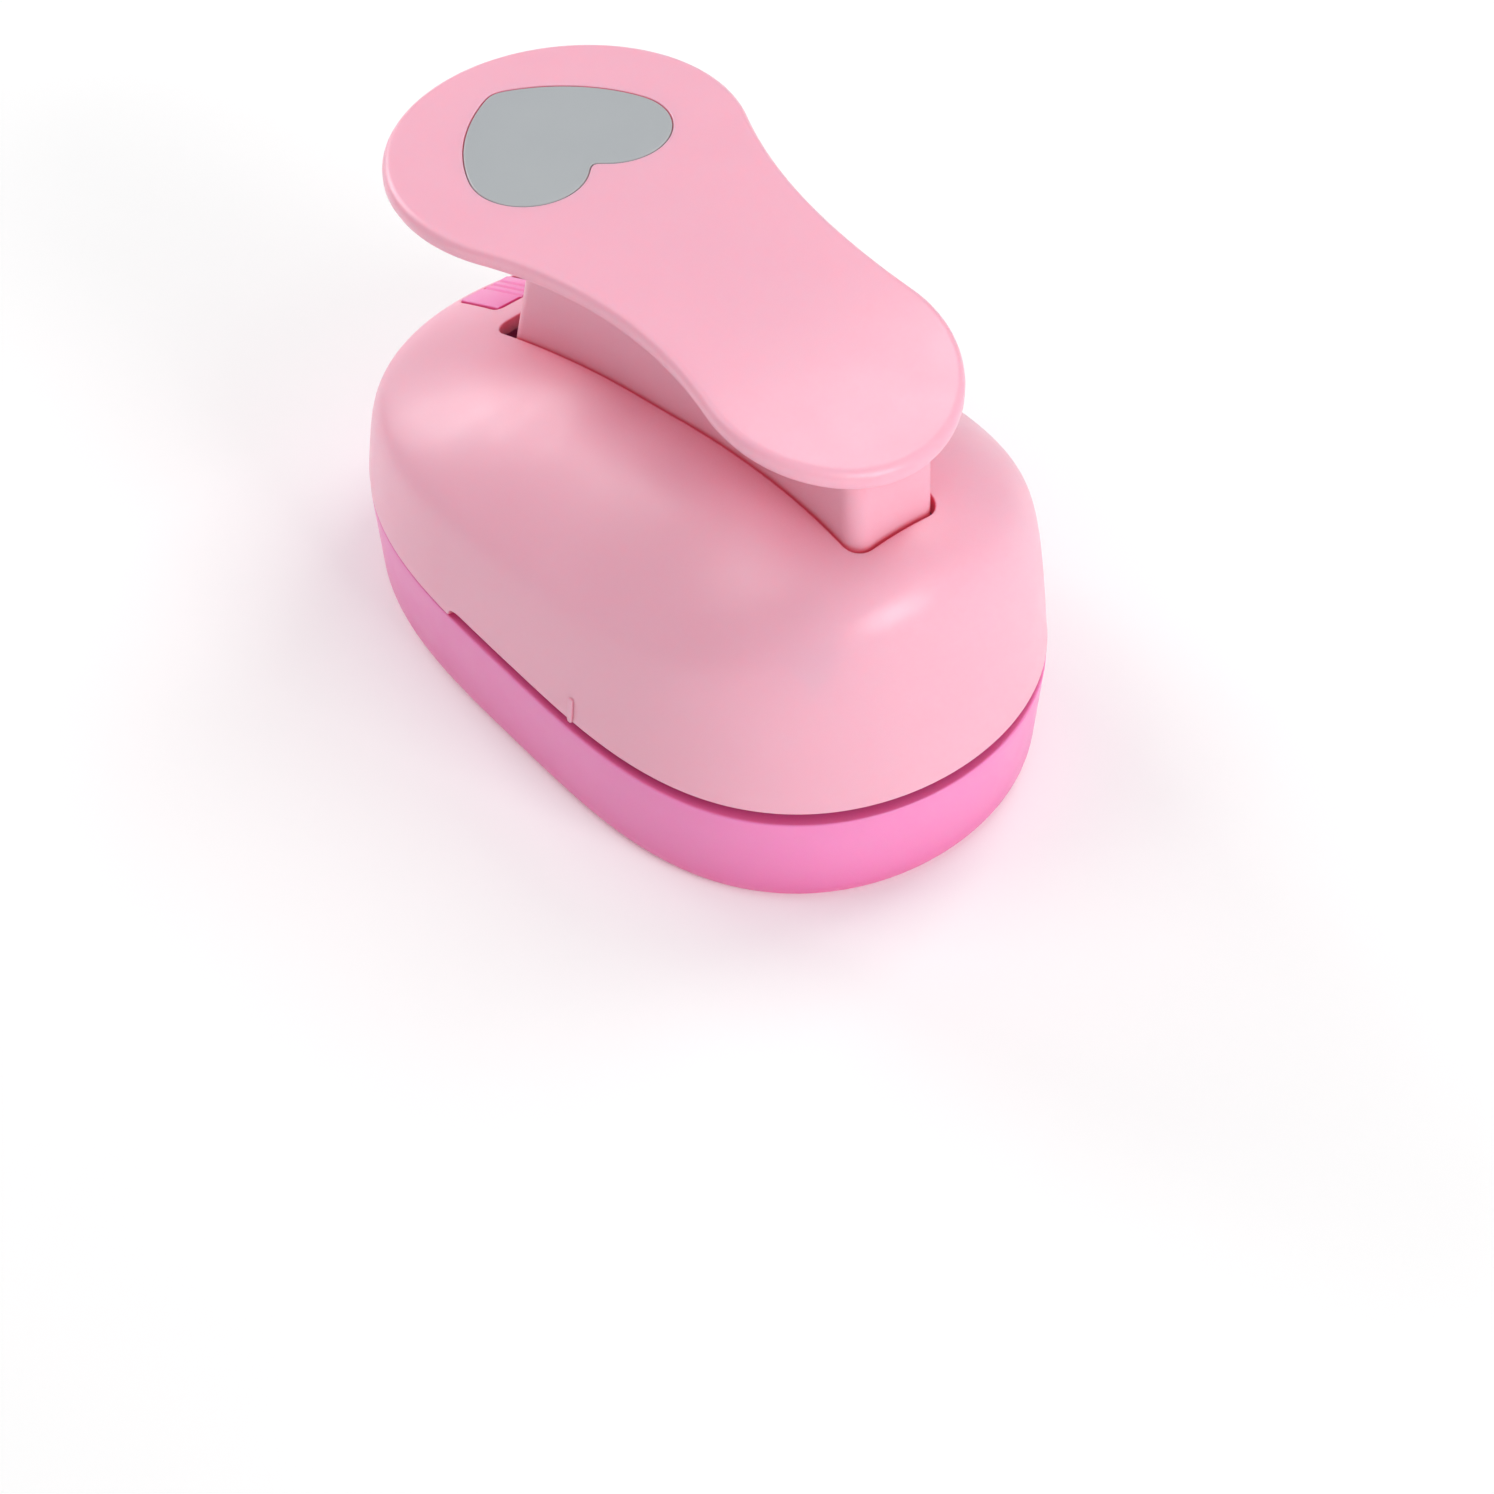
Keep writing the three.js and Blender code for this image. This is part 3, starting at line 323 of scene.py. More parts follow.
class Skin:
    """Collects the rings and caps of one surface, in drawing millimetres."""

    def __init__(self):
        self.points = []
        self.faces = []

    def ring(self, xyz):
        """Adds a closed loop of points and returns their indices."""
        start = len(self.points)
        self.points.extend(np.asarray(xyz, float).tolist())
        return np.arange(start, len(self.points))

    def flat_ring(self, outline, z):
        """Adds an outline at one height, or at a height for each point."""
        return self.ring(np.column_stack([outline, np.broadcast_to(z, len(outline))]))

    def join(self, a, b):
        """Quads between two loops with the same number of points."""
        for i in range(len(a)):
            k = (i + 1) % len(a)
            self.faces.append((int(a[i]), int(a[k]), int(b[k]), int(b[i])))

    def stack(self, rings):
        for a, b in zip(rings, rings[1:]):
            self.join(a, b)

    def cap(self, outer, holes=(), spacing=2.0, height=None):
        """Fills between a loop and the holes in it with an even triangulation."""
        everything = np.array(self.points)
        loops = [everything[loop][:, :2] for loop in (outer, *holes)]
        fixed = np.vstack(loops)
        indices = np.concatenate([outer, *holes]).tolist()
        edges = []
        start = 0
        for loop in loops:
            n = len(loop)
            edges += [(start + i, start + (i + 1) % n) for i in range(n)]
            start += n
        low, high = loops[0].min(axis=0), loops[0].max(axis=0)
        xs = np.arange(low[0] + spacing / 3, high[0], spacing)
        ys = np.arange(low[1] + spacing / 3, high[1], spacing * 0.866)
        grid = np.array([(x + spacing / 2 * (j % 2), y) for j, y in enumerate(ys) for x in xs])
        keep = inside(grid, loops[0])
        for loop in loops[1:]:
            keep &= ~inside(grid, loop)
        grid = grid[keep]
        if len(grid):
            gaps = np.linalg.norm(grid[:, None] - fixed[None], axis=2).min(axis=1)
            grid = grid[gaps > spacing * 0.55]
        level = float(everything[outer[0]][2])
        heights = height(grid[:, 0], grid[:, 1]) if height and len(grid) else np.full(len(grid), level)
        if len(grid):
            indices += self.ring(np.column_stack([grid, heights])).tolist()
        flat = [Vector(p) for p in np.vstack([fixed, grid])]
        made = delaunay_2d_cdt(flat, edges, [], 0, 1e-7)
        source = [ids[0] for ids in made[3]]
        place = np.array([tuple(p) for p in made[0]])
        triangles = np.array(made[2])
        middle = place[triangles].mean(axis=1)
        wanted = inside(middle, loops[0])
        for loop in loops[1:]:
            wanted &= ~inside(middle, loop)
        for triangle in triangles[wanted]:
            self.faces.append(tuple(indices[source[v]] for v in triangle))

    def prism(self, outer, holes, z0, z1, soft=0.25, spacing=4.0):
        """Closed plate with holes whose edges are rounded off by a small radius."""
        turn = np.linspace(0, pi / 2, 4)
        walls = []
        for outline, way in [(outer, -1)] + [(hole, 1) for hole in holes]:
            rings = []
            for t in turn:
                edge = grown(outline, way * soft * (1 - sin(t)))
                rings.append(self.flat_ring(edge, z0 + soft * (1 - cos(t))))
            for t in turn[::-1]:
                edge = grown(outline, way * soft * (1 - sin(t)))
                rings.append(self.flat_ring(edge, z1 - soft * (1 - cos(t))))
            self.stack(rings)
            walls.append(rings)
        self.cap(walls[0][0], [w[0] for w in walls[1:]], spacing)
        self.cap(walls[0][-1], [w[-1] for w in walls[1:]], spacing)

    def turned(self, profile, x=0.0, y=0.0, steps=48):
        """Closed body of revolution about an upright line; the profile runs from low to high."""
        rings = []
        for r, z in profile:
            if r > 0:
                rings.append(self.flat_ring(circle(x, y, r, steps), z))
        self.stack(rings)
        if profile[0][0] <= 0:
            self.fan(rings[0], (x, y, profile[0][1]))
            self.fan(rings[-1], (x, y, profile[-1][1]))
        else:
            self.join(rings[-1], rings[0])

    def fan(self, loop, centre):
        middle = int(self.ring([centre])[0])
        for i in range(len(loop)):
            self.faces.append((int(loop[i]), int(loop[(i + 1) % len(loop)]), middle))

    def swept(self, path, r, around=12):
        """Closed round bar along a path of points."""
        ahead = np.gradient(path, axis=0)
        ahead /= np.linalg.norm(ahead, axis=1, keepdims=True)
        side = np.cross(ahead, [0, 0, 1])
        side /= np.linalg.norm(side, axis=1, keepdims=True)
        up = np.cross(side, ahead)
        turn = np.linspace(0, tau, around, endpoint=False)
        rings = []
        for p, a, b in zip(path, side, up):
            rings.append(self.ring(p + r * (np.outer(np.cos(turn), a) + np.outer(np.sin(turn), b))))
        self.stack(rings)
        self.fan(rings[0], path[0])
        self.fan(rings[-1], path[-1])

    def shift(self, move):
        """Moves every point by what a function of the point array returns."""
        points = np.array(self.points)
        self.points = (points + move(points)).tolist()

    def add(self, other):
        """Takes in the points and faces of another surface."""
        start = len(self.points)
        self.points.extend(other.points)
        self.faces.extend(tuple(start + v for v in face) for face in other.faces)

    def turn_axes(self, order):
        """Draws the surface in other axes, such as (2, 0, 1) for a shape drawn in Y and Z."""
        self.points = np.array(self.points)[:, list(order)].tolist()

    def mesh(self, name):
        """Mesh data in metres with its faces looking outward."""
        data = bpy.data.meshes.new(name)
        data.from_pydata(((np.array(self.points) + ORIGIN) * MM).tolist(), [], self.faces)
        bm = bmesh.new()
        bm.from_mesh(data)
        bmesh.ops.recalc_face_normals(bm, faces=bm.faces)
        bm.to_mesh(data)
        bm.free()
        return data

    def thing(self, name):
        obj = bpy.data.objects.new(name, self.mesh(name))
        bpy.context.scene.collection.objects.link(obj)
        return obj


def combine(obj, operation, skins):
    """Joins surfaces to an object, or cuts them from it."""
    for skin in skins:
        tool = skin.thing("tool")
        modifier = obj.modifiers.new("combine", "BOOLEAN")
        modifier.operation = operation
        modifier.solver = "EXACT"
        modifier.object = tool
        graph = bpy.context.evaluated_depsgraph_get()
        made = bpy.data.meshes.new_from_object(obj.evaluated_get(graph))
        obj.modifiers.clear()
        obj.data = made
        bpy.data.objects.remove(tool)
    return obj


def shade(obj, sharp_degrees=38):
    """Smooth shading that keeps the real edges."""
    obj.data.shade_smooth()
    obj.data.set_sharp_from_angle(angle=radians(sharp_degrees))
    return obj


def dress(obj, material, body, slot, *nodes):
    """Gives a finished piece its material and its place in the frame."""
    obj.data.materials.clear()
    obj.data.materials.append(material)
    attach(obj, body)
    if nodes:
        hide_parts(*nodes)
    return obj


# ---------- materials ----------


def new_material(name):
    material = bpy.data.materials.new(name)
    material.use_nodes = True
    tree = material.node_tree
    shader = tree.nodes["Principled BSDF"]
    place = tree.nodes.new("ShaderNodeTexCoord").outputs["Object"]
    return material, tree, shader, place


def noise(tree, place, scale, detail=2.0, rough=0.5):
    node = tree.nodes.new("ShaderNodeTexNoise")
    node.inputs["Scale"].default_value = scale
    node.inputs["Detail"].default_value = detail
    node.inputs["Roughness"].default_value = rough
    tree.links.new(place, node.inputs["Vector"])
    return node.outputs["Fac"]


def remap(tree, value, low, high, from_low=0.3, from_high=0.7):
    node = tree.nodes.new("ShaderNodeMapRange")
    node.inputs["From Min"].default_value = from_low
    node.inputs["From Max"].default_value = from_high
    node.inputs["To Min"].default_value = low
    node.inputs["To Max"].default_value = high
    tree.links.new(value, node.inputs["Value"])
    return node.outputs["Result"]


def blend_colors(tree, factor, a, b):
    node = tree.nodes.new("ShaderNodeMix")
    node.data_type = "RGBA"
    for socket, value in ((node.inputs["A"], a), (node.inputs["B"], b)):
        if isinstance(value, tuple):
            socket.default_value = (*value, 1)
        else:
            tree.links.new(value, socket)
    tree.links.new(factor, node.inputs["Factor"])
    return node.outputs["Result"]


def bump(tree, shader, height, strength, distance, before=None):
    node = tree.nodes.new("ShaderNodeBump")
    node.inputs["Strength"].default_value = strength
    node.inputs["Distance"].default_value = distance
    tree.links.new(height, node.inputs["Height"])
    if before:
        tree.links.new(before, node.inputs["Normal"])
    tree.links.new(node.outputs["Normal"], shader.inputs["Normal"])
    return node.outputs["Normal"]


def worn_edges(tree, radius):
    """1 where the surface turns sharply within a radius, 0 on the open surface."""
    soft = tree.nodes.new("ShaderNodeBevel")
    soft.samples = 4
    soft.inputs["Radius"].default_value = radius
    plain = tree.nodes.new("ShaderNodeNewGeometry")
    dot = tree.nodes.new("ShaderNodeVectorMath")
    dot.operation = "DOT_PRODUCT"
    tree.links.new(soft.outputs["Normal"], dot.inputs[0])
    tree.links.new(plain.outputs["Normal"], dot.inputs[1])
    return remap(tree, dot.outputs["Value"], 1, 0, 0.8, 0.99)


def painted_shade_mask(tree, reach):
    """Mask for painted shade: 0 on the open surface, rising to 1 where other walls stand close by."""
    node = tree.nodes.new("ShaderNodeAmbientOcclusion")
    node.samples = 4
    node.inputs["Distance"].default_value = reach
    return remap(tree, node.outputs["AO"], 0, 1, 0.86, 0.3)


def plastic(name, color, other, painted_shade_color, roughness, glow, grain=0.3):
    """Moulded plastic: faint colour drift, fine spark-eroded grain, rubbed edges, and painted shade with a
    painted glow in creases.
    """
    material, tree, shader, place = new_material(name)
    drift = remap(tree, noise(tree, place, 45, 3), 0, 1)
    body = blend_colors(tree, drift, color, other)
    rubbed = tuple(min(1.0, c * 1.06 + 0.02) for c in color)
    body = blend_colors(tree, remap(tree, worn_edges(tree, 0.0005), 0, 0.4, 0, 1), body, rubbed)
    # painted shade: where other walls stand close, the colour turns darker and more saturated
    painted_shade = painted_shade_mask(tree, 0.014)
    body = blend_colors(tree, remap(tree, painted_shade, 0, 0.9, 0, 1), body, painted_shade_color)
    tree.links.new(body, shader.inputs["Base Color"])
    # painted glow: the same creases give off a faint light in the painted shade colour
    shader.inputs["Emission Color"].default_value = (*painted_shade_color, 1)
    tree.links.new(remap(tree, painted_shade, 0, 0.1, 0.6, 1), shader.inputs["Emission Strength"])
    patches = noise(tree, place, 160, 4)
    tree.links.new(remap(tree, patches, roughness - 0.04, roughness + 0.05), shader.inputs["Roughness"])
    waves = bump(tree, shader, noise(tree, place, 70, 1), 0.10, 0.0002)
    bump(tree, shader, noise(tree, place, 5200, 2, 0.6), grain, 0.00001, waves)
    shader.inputs["Subsurface Weight"].default_value = 0.5
    shader.inputs["Subsurface Radius"].default_value = glow
    shader.inputs["Subsurface Scale"].default_value = 0.002
    shader.inputs["IOR"].default_value = 1.52
    return material


def metal(name, color, roughness, streak=(1, 1, 1), wear=0.5, metallic=1.0, grain=0.2):
    """Machined or plated metal: fine streaks along one axis, dull patches and bright edges."""
    material, tree, shader, place = new_material(name)
    stretch = tree.nodes.new("ShaderNodeVectorMath")
    stretch.operation = "MULTIPLY"
    stretch.inputs[1].default_value = streak
    tree.links.new(place, stretch.inputs[0])
    lines = noise(tree, stretch.outputs[0], 900, 4, 0.6)
    dull = noise(tree, place, 220, 4)
    darker = tuple(c * 0.78 for c in color)
    brighter = tuple(min(1.0, c * 1.2) for c in color)
    body = blend_colors(tree, remap(tree, dull, 0, 1), color, darker)
    body = blend_colors(tree, remap(tree, worn_edges(tree, 0.0003), 0, wear, 0, 1), body, brighter)
    tree.links.new(body, shader.inputs["Base Color"])
    tree.links.new(remap(tree, lines, roughness - 0.06, roughness + 0.1), shader.inputs["Roughness"])
    bump(tree, shader, lines, grain, 0.00001)
    shader.inputs["Metallic"].default_value = metallic
    return material


# the fourth colour of each plastic is the painted shade and glow colour of its creases
PINK = plastic(
    "pink_plastic", (0.94, 0.47, 0.59), (0.93, 0.455, 0.575), (0.74, 0.11, 0.18), 0.35, (1.0, 0.3, 0.35)
)
MAGENTA = plastic(
    "magenta_plastic", (0.94, 0.27, 0.57), (0.92, 0.26, 0.555), (0.72, 0.09, 0.30), 0.34, (0.8, 0.25, 0.5)
)
BADGE_GREY = plastic(
    "badge_grey", (0.435, 0.46, 0.48), (0.45, 0.475, 0.49), (0.30, 0.32, 0.33), 0.34, (0.2, 0.2, 0.2), 0.25
)
NYLON = plastic(
    "nylon", (0.84, 0.82, 0.75), (0.80, 0.78, 0.71), (0.55, 0.52, 0.45), 0.45, (1.0, 0.9, 0.8)
)
STEEL = metal("zinc_plated_steel", (0.62, 0.63, 0.65), 0.3, (1, 6, 1))
ZINC = metal("die_cast_zinc", (0.46, 0.47, 0.49), 0.42, (1, 1, 1), grain=0.4)
SPRING = metal("spring_wire", (0.68, 0.69, 0.70), 0.22, (1, 1, 5))
BRASS = metal("brass", (0.78, 0.60, 0.28), 0.28, (1, 1, 8))


# ---------- upper housing ----------


def body_stations(count=300):
    """Angles round the plan outline, closer together where the throat stop steps down."""
    angle = np.linspace(-pi / 2, 1.5 * pi, 9001)
    points = plan_point(angle)
    step = np.linalg.norm(np.diff(points, axis=0), axis=1)
    middle = (points[1:] + points[:-1]) / 2
    weight = 1 + 5 * np.exp(-(((middle[:, 1] - THROAT_STOP_Y + 1) / 2) ** 2))
    along = np.concatenate([[0], np.cumsum(step * weight)])
    target = np.linspace(0, along[-1], count + 1)[:-1]
    plain = np.concatenate([[0], np.cumsum(step)]) / step.sum()
    return np.interp(target, along, angle), np.interp(target, along, plain)


def slot_loop(share):
    """Slot edge points that face given shares of the way round the plan outline."""
    r = SLOT_CORNER_R
    edge = rounded_rect(-SLOT_HALF, SLOT_HALF, SLOT_NEAR_Y, SLOT_FAR_Y, r, 60)
    width, length, bend = SLOT_HALF - r, SLOT_FAR_Y - SLOT_NEAR_Y - 2 * r, r * pi / 2
    turns = np.cumsum([0, width, bend, length, bend, width])
    half = 2 * np.minimum(share, 1 - share)
    distance = np.interp(half, [0, 0.12, 0.27, 0.73, 0.88, 1], turns)
    path = np.vstack([[[0, SLOT_NEAR_Y]], edge[edge[:, 0] > 0], [[0, SLOT_FAR_Y]]])
    along = np.concatenate([[0], np.cumsum(np.linalg.norm(np.diff(path, axis=0), axis=1))])
    along *= turns[-1] / along[-1]
    x = np.interp(distance, along, path[:, 0]) * np.where(share > 0.5, -1, 1)
    return np.column_stack([x, np.interp(distance, along, path[:, 1])])


def rim_z(y):
    """Lower edge of the housing: raised over the throat, down to the parting line behind the stop."""
    corner_width = 0.25
    t = np.clip((y - THROAT_STOP_Y) / THROAT_LIP_LENGTH + 1, 0, 1)
    fillet = HOUSING_RIM - THROAT_LIP_HEIGHT * (1 - np.sqrt(1 - t**2))
    drop = np.clip((y - THROAT_STOP_Y) / corner_width, 0, 1)
    return fillet + (PARTING_Z - fillet) * drop


def resample(path, count):
    """Each station's polyline, (points, stations, 3), with its points spread evenly."""
    step = np.linalg.norm(np.diff(path, axis=0), axis=2)
    along = np.vstack([np.zeros(path.shape[1]), np.cumsum(step, axis=0)])
    made = np.empty((count, path.shape[1], 3))
    for i in range(path.shape[1]):
        target = np.linspace(0, along[-1, i], count)
        for k in range(3):
            made[:, i, k] = np.interp(target, along[:, i], path[:, i, k])
    return made


def shell_path(start, end, inset, bottom, samples=260):
    """Polyline over the housing from the slot to the outline, then down to the bottom edge."""
    w = 1 - (1 - np.linspace(0, 1, samples)) ** 2.4
    xy = start[None] + (end - start)[None] * w[:, None, None]
    z = housing_z(xy[..., 0], xy[..., 1], inset)
    z = np.maximum(z, bottom[None])
    path = np.concatenate([xy, z[..., None]], axis=2)
    foot = np.column_stack([end, bottom])[None]
    return np.concatenate([path, foot])


def window_cutter():
    """Solid that opens the lock's window and leaves a rounded edge on the crown."""
    below, above = 9.2, 3.0
    edge = rounded_rect(*WINDOW_X, *WINDOW_Y, WINDOW_CORNER_R, 24, 12)
    away = normals(edge)
    crown = housing_z(edge[:, 0], edge[:, 1])
    skin = Skin()
    rings = [skin.flat_ring(edge, crown - below)]
    for t in np.linspace(0, pi / 2, 7):
        xy = edge + away * WINDOW_LIP_R * (1 - cos(t))
        rings.append(skin.flat_ring(xy, housing_z(xy[:, 0], xy[:, 1]) - WINDOW_LIP_R * (1 - sin(t))))
    rings.append(skin.flat_ring(edge + away * WINDOW_LIP_R, crown + above))
    skin.stack(rings)
    skin.cap(rings[0], spacing=3)
    skin.cap(rings[-1], spacing=3)
    return skin


def flank_tick(side):
    """Small upright rib low on a flank, over the middle of the die."""
    skin = Skin()
    low, high = HOUSING_RIM + 0.1, HOUSING_RIM + TICK_HEIGHT
    outline = rounded_rect(RAM_Y - TICK_HALF, RAM_Y + TICK_HALF, low, high, 0.4)
    soft = 0.2
    rows = [(0, -1.0)]
    for t in np.linspace(0, pi / 2, 5):
        rows.append((soft * (1 - cos(t)), TICK_PROUD - soft * (1 - sin(t))))
    rings = []
    for margin, proud in rows:
        yz = grown(outline, -margin)
        wall = HALF_WIDTH * (1 - (yz[:, 1] - HOUSING_RIM) / WALL_STEEPNESS)
        wall *= (1 - np.abs(yz[:, 0] / NEAR) ** PLAN_POWER) ** 0.5
        rings.append(skin.ring(np.column_stack([side * (wall + proud), yz])))
    skin.stack(rings)
    for loop in (rings[0], rings[-1]):
        skin.fan(loop, np.array(skin.points)[loop].mean(axis=0))
    return skin


def screw_boss(x, y):
    """Tube that hangs from inside the crown down to the guide plate."""
    skin = Skin()
    bore = SHANK_R + 0.08
    rings = []
    for r, at_top in ((BOSS_R, False), (BOSS_R, True), (bore, True), (bore, False)):
        xy = circle(x, y, r)
        top = housing_z(xy[:, 0], xy[:, 1]) - WALL * 0.6
        rings.append(skin.flat_ring(xy, top if at_top else GUIDE_TOP))
    skin.stack(rings + rings[:1])
    return skin


def upper_housing():
    """Thin shell lofted from the slot to the rim outside and back inside, with its bosses and ticks."""
    angle, share = body_stations()
    rim = plan_point(angle)
    inner_rim = plan_point(angle, WALL)
    slot = slot_loop(share)
    away = normals(slot)
    bottom = rim_z(rim[:, 1])
    inward = inner_rim - rim
    inward /= np.linalg.norm(inward, axis=1, keepdims=True)

    rings = []
    lip_turn = np.linspace(0, pi / 2, 6)
    for t in lip_turn[:-1]:
        xy = slot + away * SLOT_LIP_R * (1 - cos(t))
        z = housing_z(xy[:, 0], xy[:, 1]) - SLOT_LIP_R * (1 - sin(t))
        rings.append(np.column_stack([xy, z]))
    outer = shell_path(slot + away * SLOT_LIP_R, rim, 0, bottom + RIM_SOFT)
    rings.extend(resample(outer, 76))
    for t in np.linspace(0, pi / 2, 5)[1:]:
        xy = rim + inward * RIM_SOFT * (1 - cos(t))
        rings.append(np.column_stack([xy, bottom + RIM_SOFT * (1 - sin(t))]))
    rings.append(np.column_stack([inner_rim, bottom]))
    inner = shell_path(slot, inner_rim, WALL, bottom)
    rings.extend(resample(inner[::-1], 44)[1:])

    skin = Skin()
    loops = [skin.ring(ring) for ring in rings]
    skin.stack(loops + loops[:1])
    obj = combine(skin.thing("upper_housing_shell"), "DIFFERENCE", [window_cutter()])
    extras = Skin()
    for _, side in SIDES:
        extras.add(flank_tick(side))
        for x, y in (NEAR_SCREW, REAR_SCREW):
            extras.add(screw_boss(side * x, y))
    bm = bmesh.new()
    bm.from_mesh(obj.data)
    bm.from_mesh(extras.mesh("extras"))
    bm.to_mesh(obj.data)
    bm.free()
    return dress(shade(obj), PINK, "root", "pink_plastic", "upper_housing")


# ---------- base tray ----------


TRAY_DRAFT = 0.058
TRAY_ROLL_HEIGHT = 3.2
TRAY_ROLL_WIDTH = 1.5


def tray_inset(z):
    """How far the tray's side is drawn in: a light draft and a rounded lower edge."""
    t = np.clip(1 - z / TRAY_ROLL_HEIGHT, 0, 1)
    return (DECK_Z - z) * TRAY_DRAFT + TRAY_ROLL_WIDTH * (1 - np.sqrt(1 - t**2))


def base_tray():
    """Tray with a pocket for the die plate, a heart-shaped drop hole and four screw bosses."""
    angle, _ = body_stations()
    skin = Skin()
    soft = 0.3
    pocket = 2.4
    ledge = 4.4
    floor = 2.0
    underside = heart(HEART, 2.5)
    rows = []
    for z in TRAY_ROLL_HEIGHT * (1 - np.cos(np.linspace(0, pi / 2, 9))):
        rows.append((tray_inset(z), z))
    for z in np.linspace(TRAY_ROLL_HEIGHT, DECK_Z - soft, 9)[1:]:
        rows.append((tray_inset(z), z))
    for t in np.linspace(0, pi / 2, 4)[1:]:
        rows.append((soft * (1 - cos(t)), DECK_Z - soft * (1 - sin(t))))
    for t in np.linspace(0, pi / 2, 4):
        rows.append((pocket - soft * (1 - sin(t)), DECK_Z - soft * (1 - cos(t))))
    rows += [(pocket, DIE_Z), (ledge, DIE_Z), (ledge, floor + 0.5), (ledge + 0.5, floor)]
    loops = [skin.flat_ring(plan_point(angle, inset), z) for inset, z in rows]
    skin.stack(loops)
    walls = []
    for t in np.linspace(0, pi / 2, 4):
        walls.append(skin.flat_ring(grown(underside, soft * (1 - sin(t))), soft * (1 - cos(t))))
    for t in np.linspace(pi / 2, 0, 4):
        walls.append(skin.flat_ring(grown(underside, soft * (1 - sin(t))), floor - soft * (1 - cos(t))))
    skin.stack(walls)
    skin.cap(loops[0], [walls[0]], 4)
    skin.cap(loops[-1], [walls[-1]], 4)
    obj = skin.thing("base_tray_shell")
    boss_r, boss_top = 4, DIE_Z - 0.02
    boss_profile = [(0, 1), (boss_r, 1), (boss_r, boss_top), (0, boss_top)]
    # countersunk mouth, counterbore for the head, clearance for the shank
    shank, head = SHANK_R + 0.2, 3.1
    bore_profile = [
        (0, -1),
        (head + 1.3, -1),
        (head, 0.3),
        (head, 3),
        (shank, 3),
        (shank, DIE_Z + 2),
        (0, DIE_Z + 2),
    ]
    bosses = []
    bores = []
    for x, y in (NEAR_SCREW, REAR_SCREW):
        for _, side in SIDES:
            for made, profile in ((bosses, boss_profile), (bores, bore_profile)):
                made.append(Skin())
                made[-1].turned(profile, side * x, y)
    combine(obj, "UNION", bosses)
    combine(obj, "DIFFERENCE", bores)
    return dress(shade(obj), MAGENTA, "root", "magenta_plastic", "base_tray")


# ---------- lever ----------


def plate_skin():
    """Lever plate with rounded edges and a heart-shaped recess for the badge."""
    skin = Skin()
    outline = plate_outline(300)
    recess = heart(BADGE, 0.1, 160)
    under_r = 0.6

    def edge(margin, depth):
        xy = grown(outline, -margin)
        return skin.flat_ring(xy, lever_top(xy[:, 1]) - depth)

    top_guard = edge(PLATE_EDGE_R + 0.35, 0)
    rows = [top_guard]
    for t in np.linspace(pi / 2, 0, 8):
        rows.append(edge(PLATE_EDGE_R * (1 - cos(t)), PLATE_EDGE_R * (1 - sin(t))))
    # the lower half of the edge is set back by a small step
    step, step_depth, soft = 0.35, 2.1, 0.12
    for t in np.linspace(0, pi / 2, 4):
        rows.append(edge(soft * (1 - cos(t)), step_depth - soft * (1 - sin(t))))
    rows.append(edge(step, step_depth))
    for t in np.linspace(0, pi / 2, 5):
        rows.append(edge(step + under_r * (1 - cos(t)), PLATE_THICKNESS - under_r * (1 - sin(t))))
    rows.append(edge(step + under_r + 0.35, PLATE_THICKNESS))
    skin.stack(rows)

    def dish(margin, depth):
        xy = grown(recess, margin)
        return skin.flat_ring(xy, lever_top(xy[:, 1]) - depth)

    lip = 0.2
    walls = [dish(lip + 0.3, 0)]
    for t in np.linspace(pi / 2, 0, 4):
        walls.append(dish(lip * (1 - cos(t)), lip * (1 - sin(t))))
    walls.append(dish(0, BADGE_DEPTH))
    skin.stack(walls)
    skin.cap(rows[0], [walls[0]], 2.2, lambda x, y: lever_top(y))
    skin.cap(rows[-1], [], 2.2, lambda x, y: lever_top(y) - PLATE_THICKNESS)
    skin.cap(walls[-1], [], 2.2, lambda x, y: lever_top(y) - BADGE_DEPTH)
    return skin


def skirt_bottom(y):
    """Height of the skirt's lower edge along the lever."""
    return np.interp(y, [-44, -39, -36, -10, 39], [48, 41, 43.5, 48, 39])


def skirt_skin(wall, top_depth, bottom_drop=0.0):
    """Upright rounded box under the plate whose ends lean in; a wall thickness gives its cavity."""
    skin = Skin()
    half = SKIRT_HALF - wall
    r = max(SKIRT_CORNER_R - wall, 1)
    low, high = (
        rounded_rect(-half, half, near + wall, far - wall, r, 12, 24)
        for near, far in (SKIRT_LOW_Y, SKIRT_HIGH_Y)
    )
    foot = skirt_bottom(low[:, 1]) - bottom_drop
    head = lever_top(high[:, 1]) - top_depth
    loops = []
    for share in np.linspace(0, 1, 15):
        xy = low + (high - low) * share
        loops.append(skin.flat_ring(xy, foot + (head - foot) * share))
    skin.stack(loops)
    skin.cap(loops[0], [], 2.5, lambda x, y: skirt_bottom(y) - bottom_drop)
    skin.cap(loops[-1], [], 2.5, lambda x, y: lever_top(y) - top_depth)
    return skin


def cross_rod(r, half, y, z, steps=64):
    """Round bar along X."""
    skin = Skin()
    skin.turned([(0, -half), (r, -half), (r, half), (0, half)], y, z, steps)
    skin.turn_axes((2, 0, 1))
    return skin


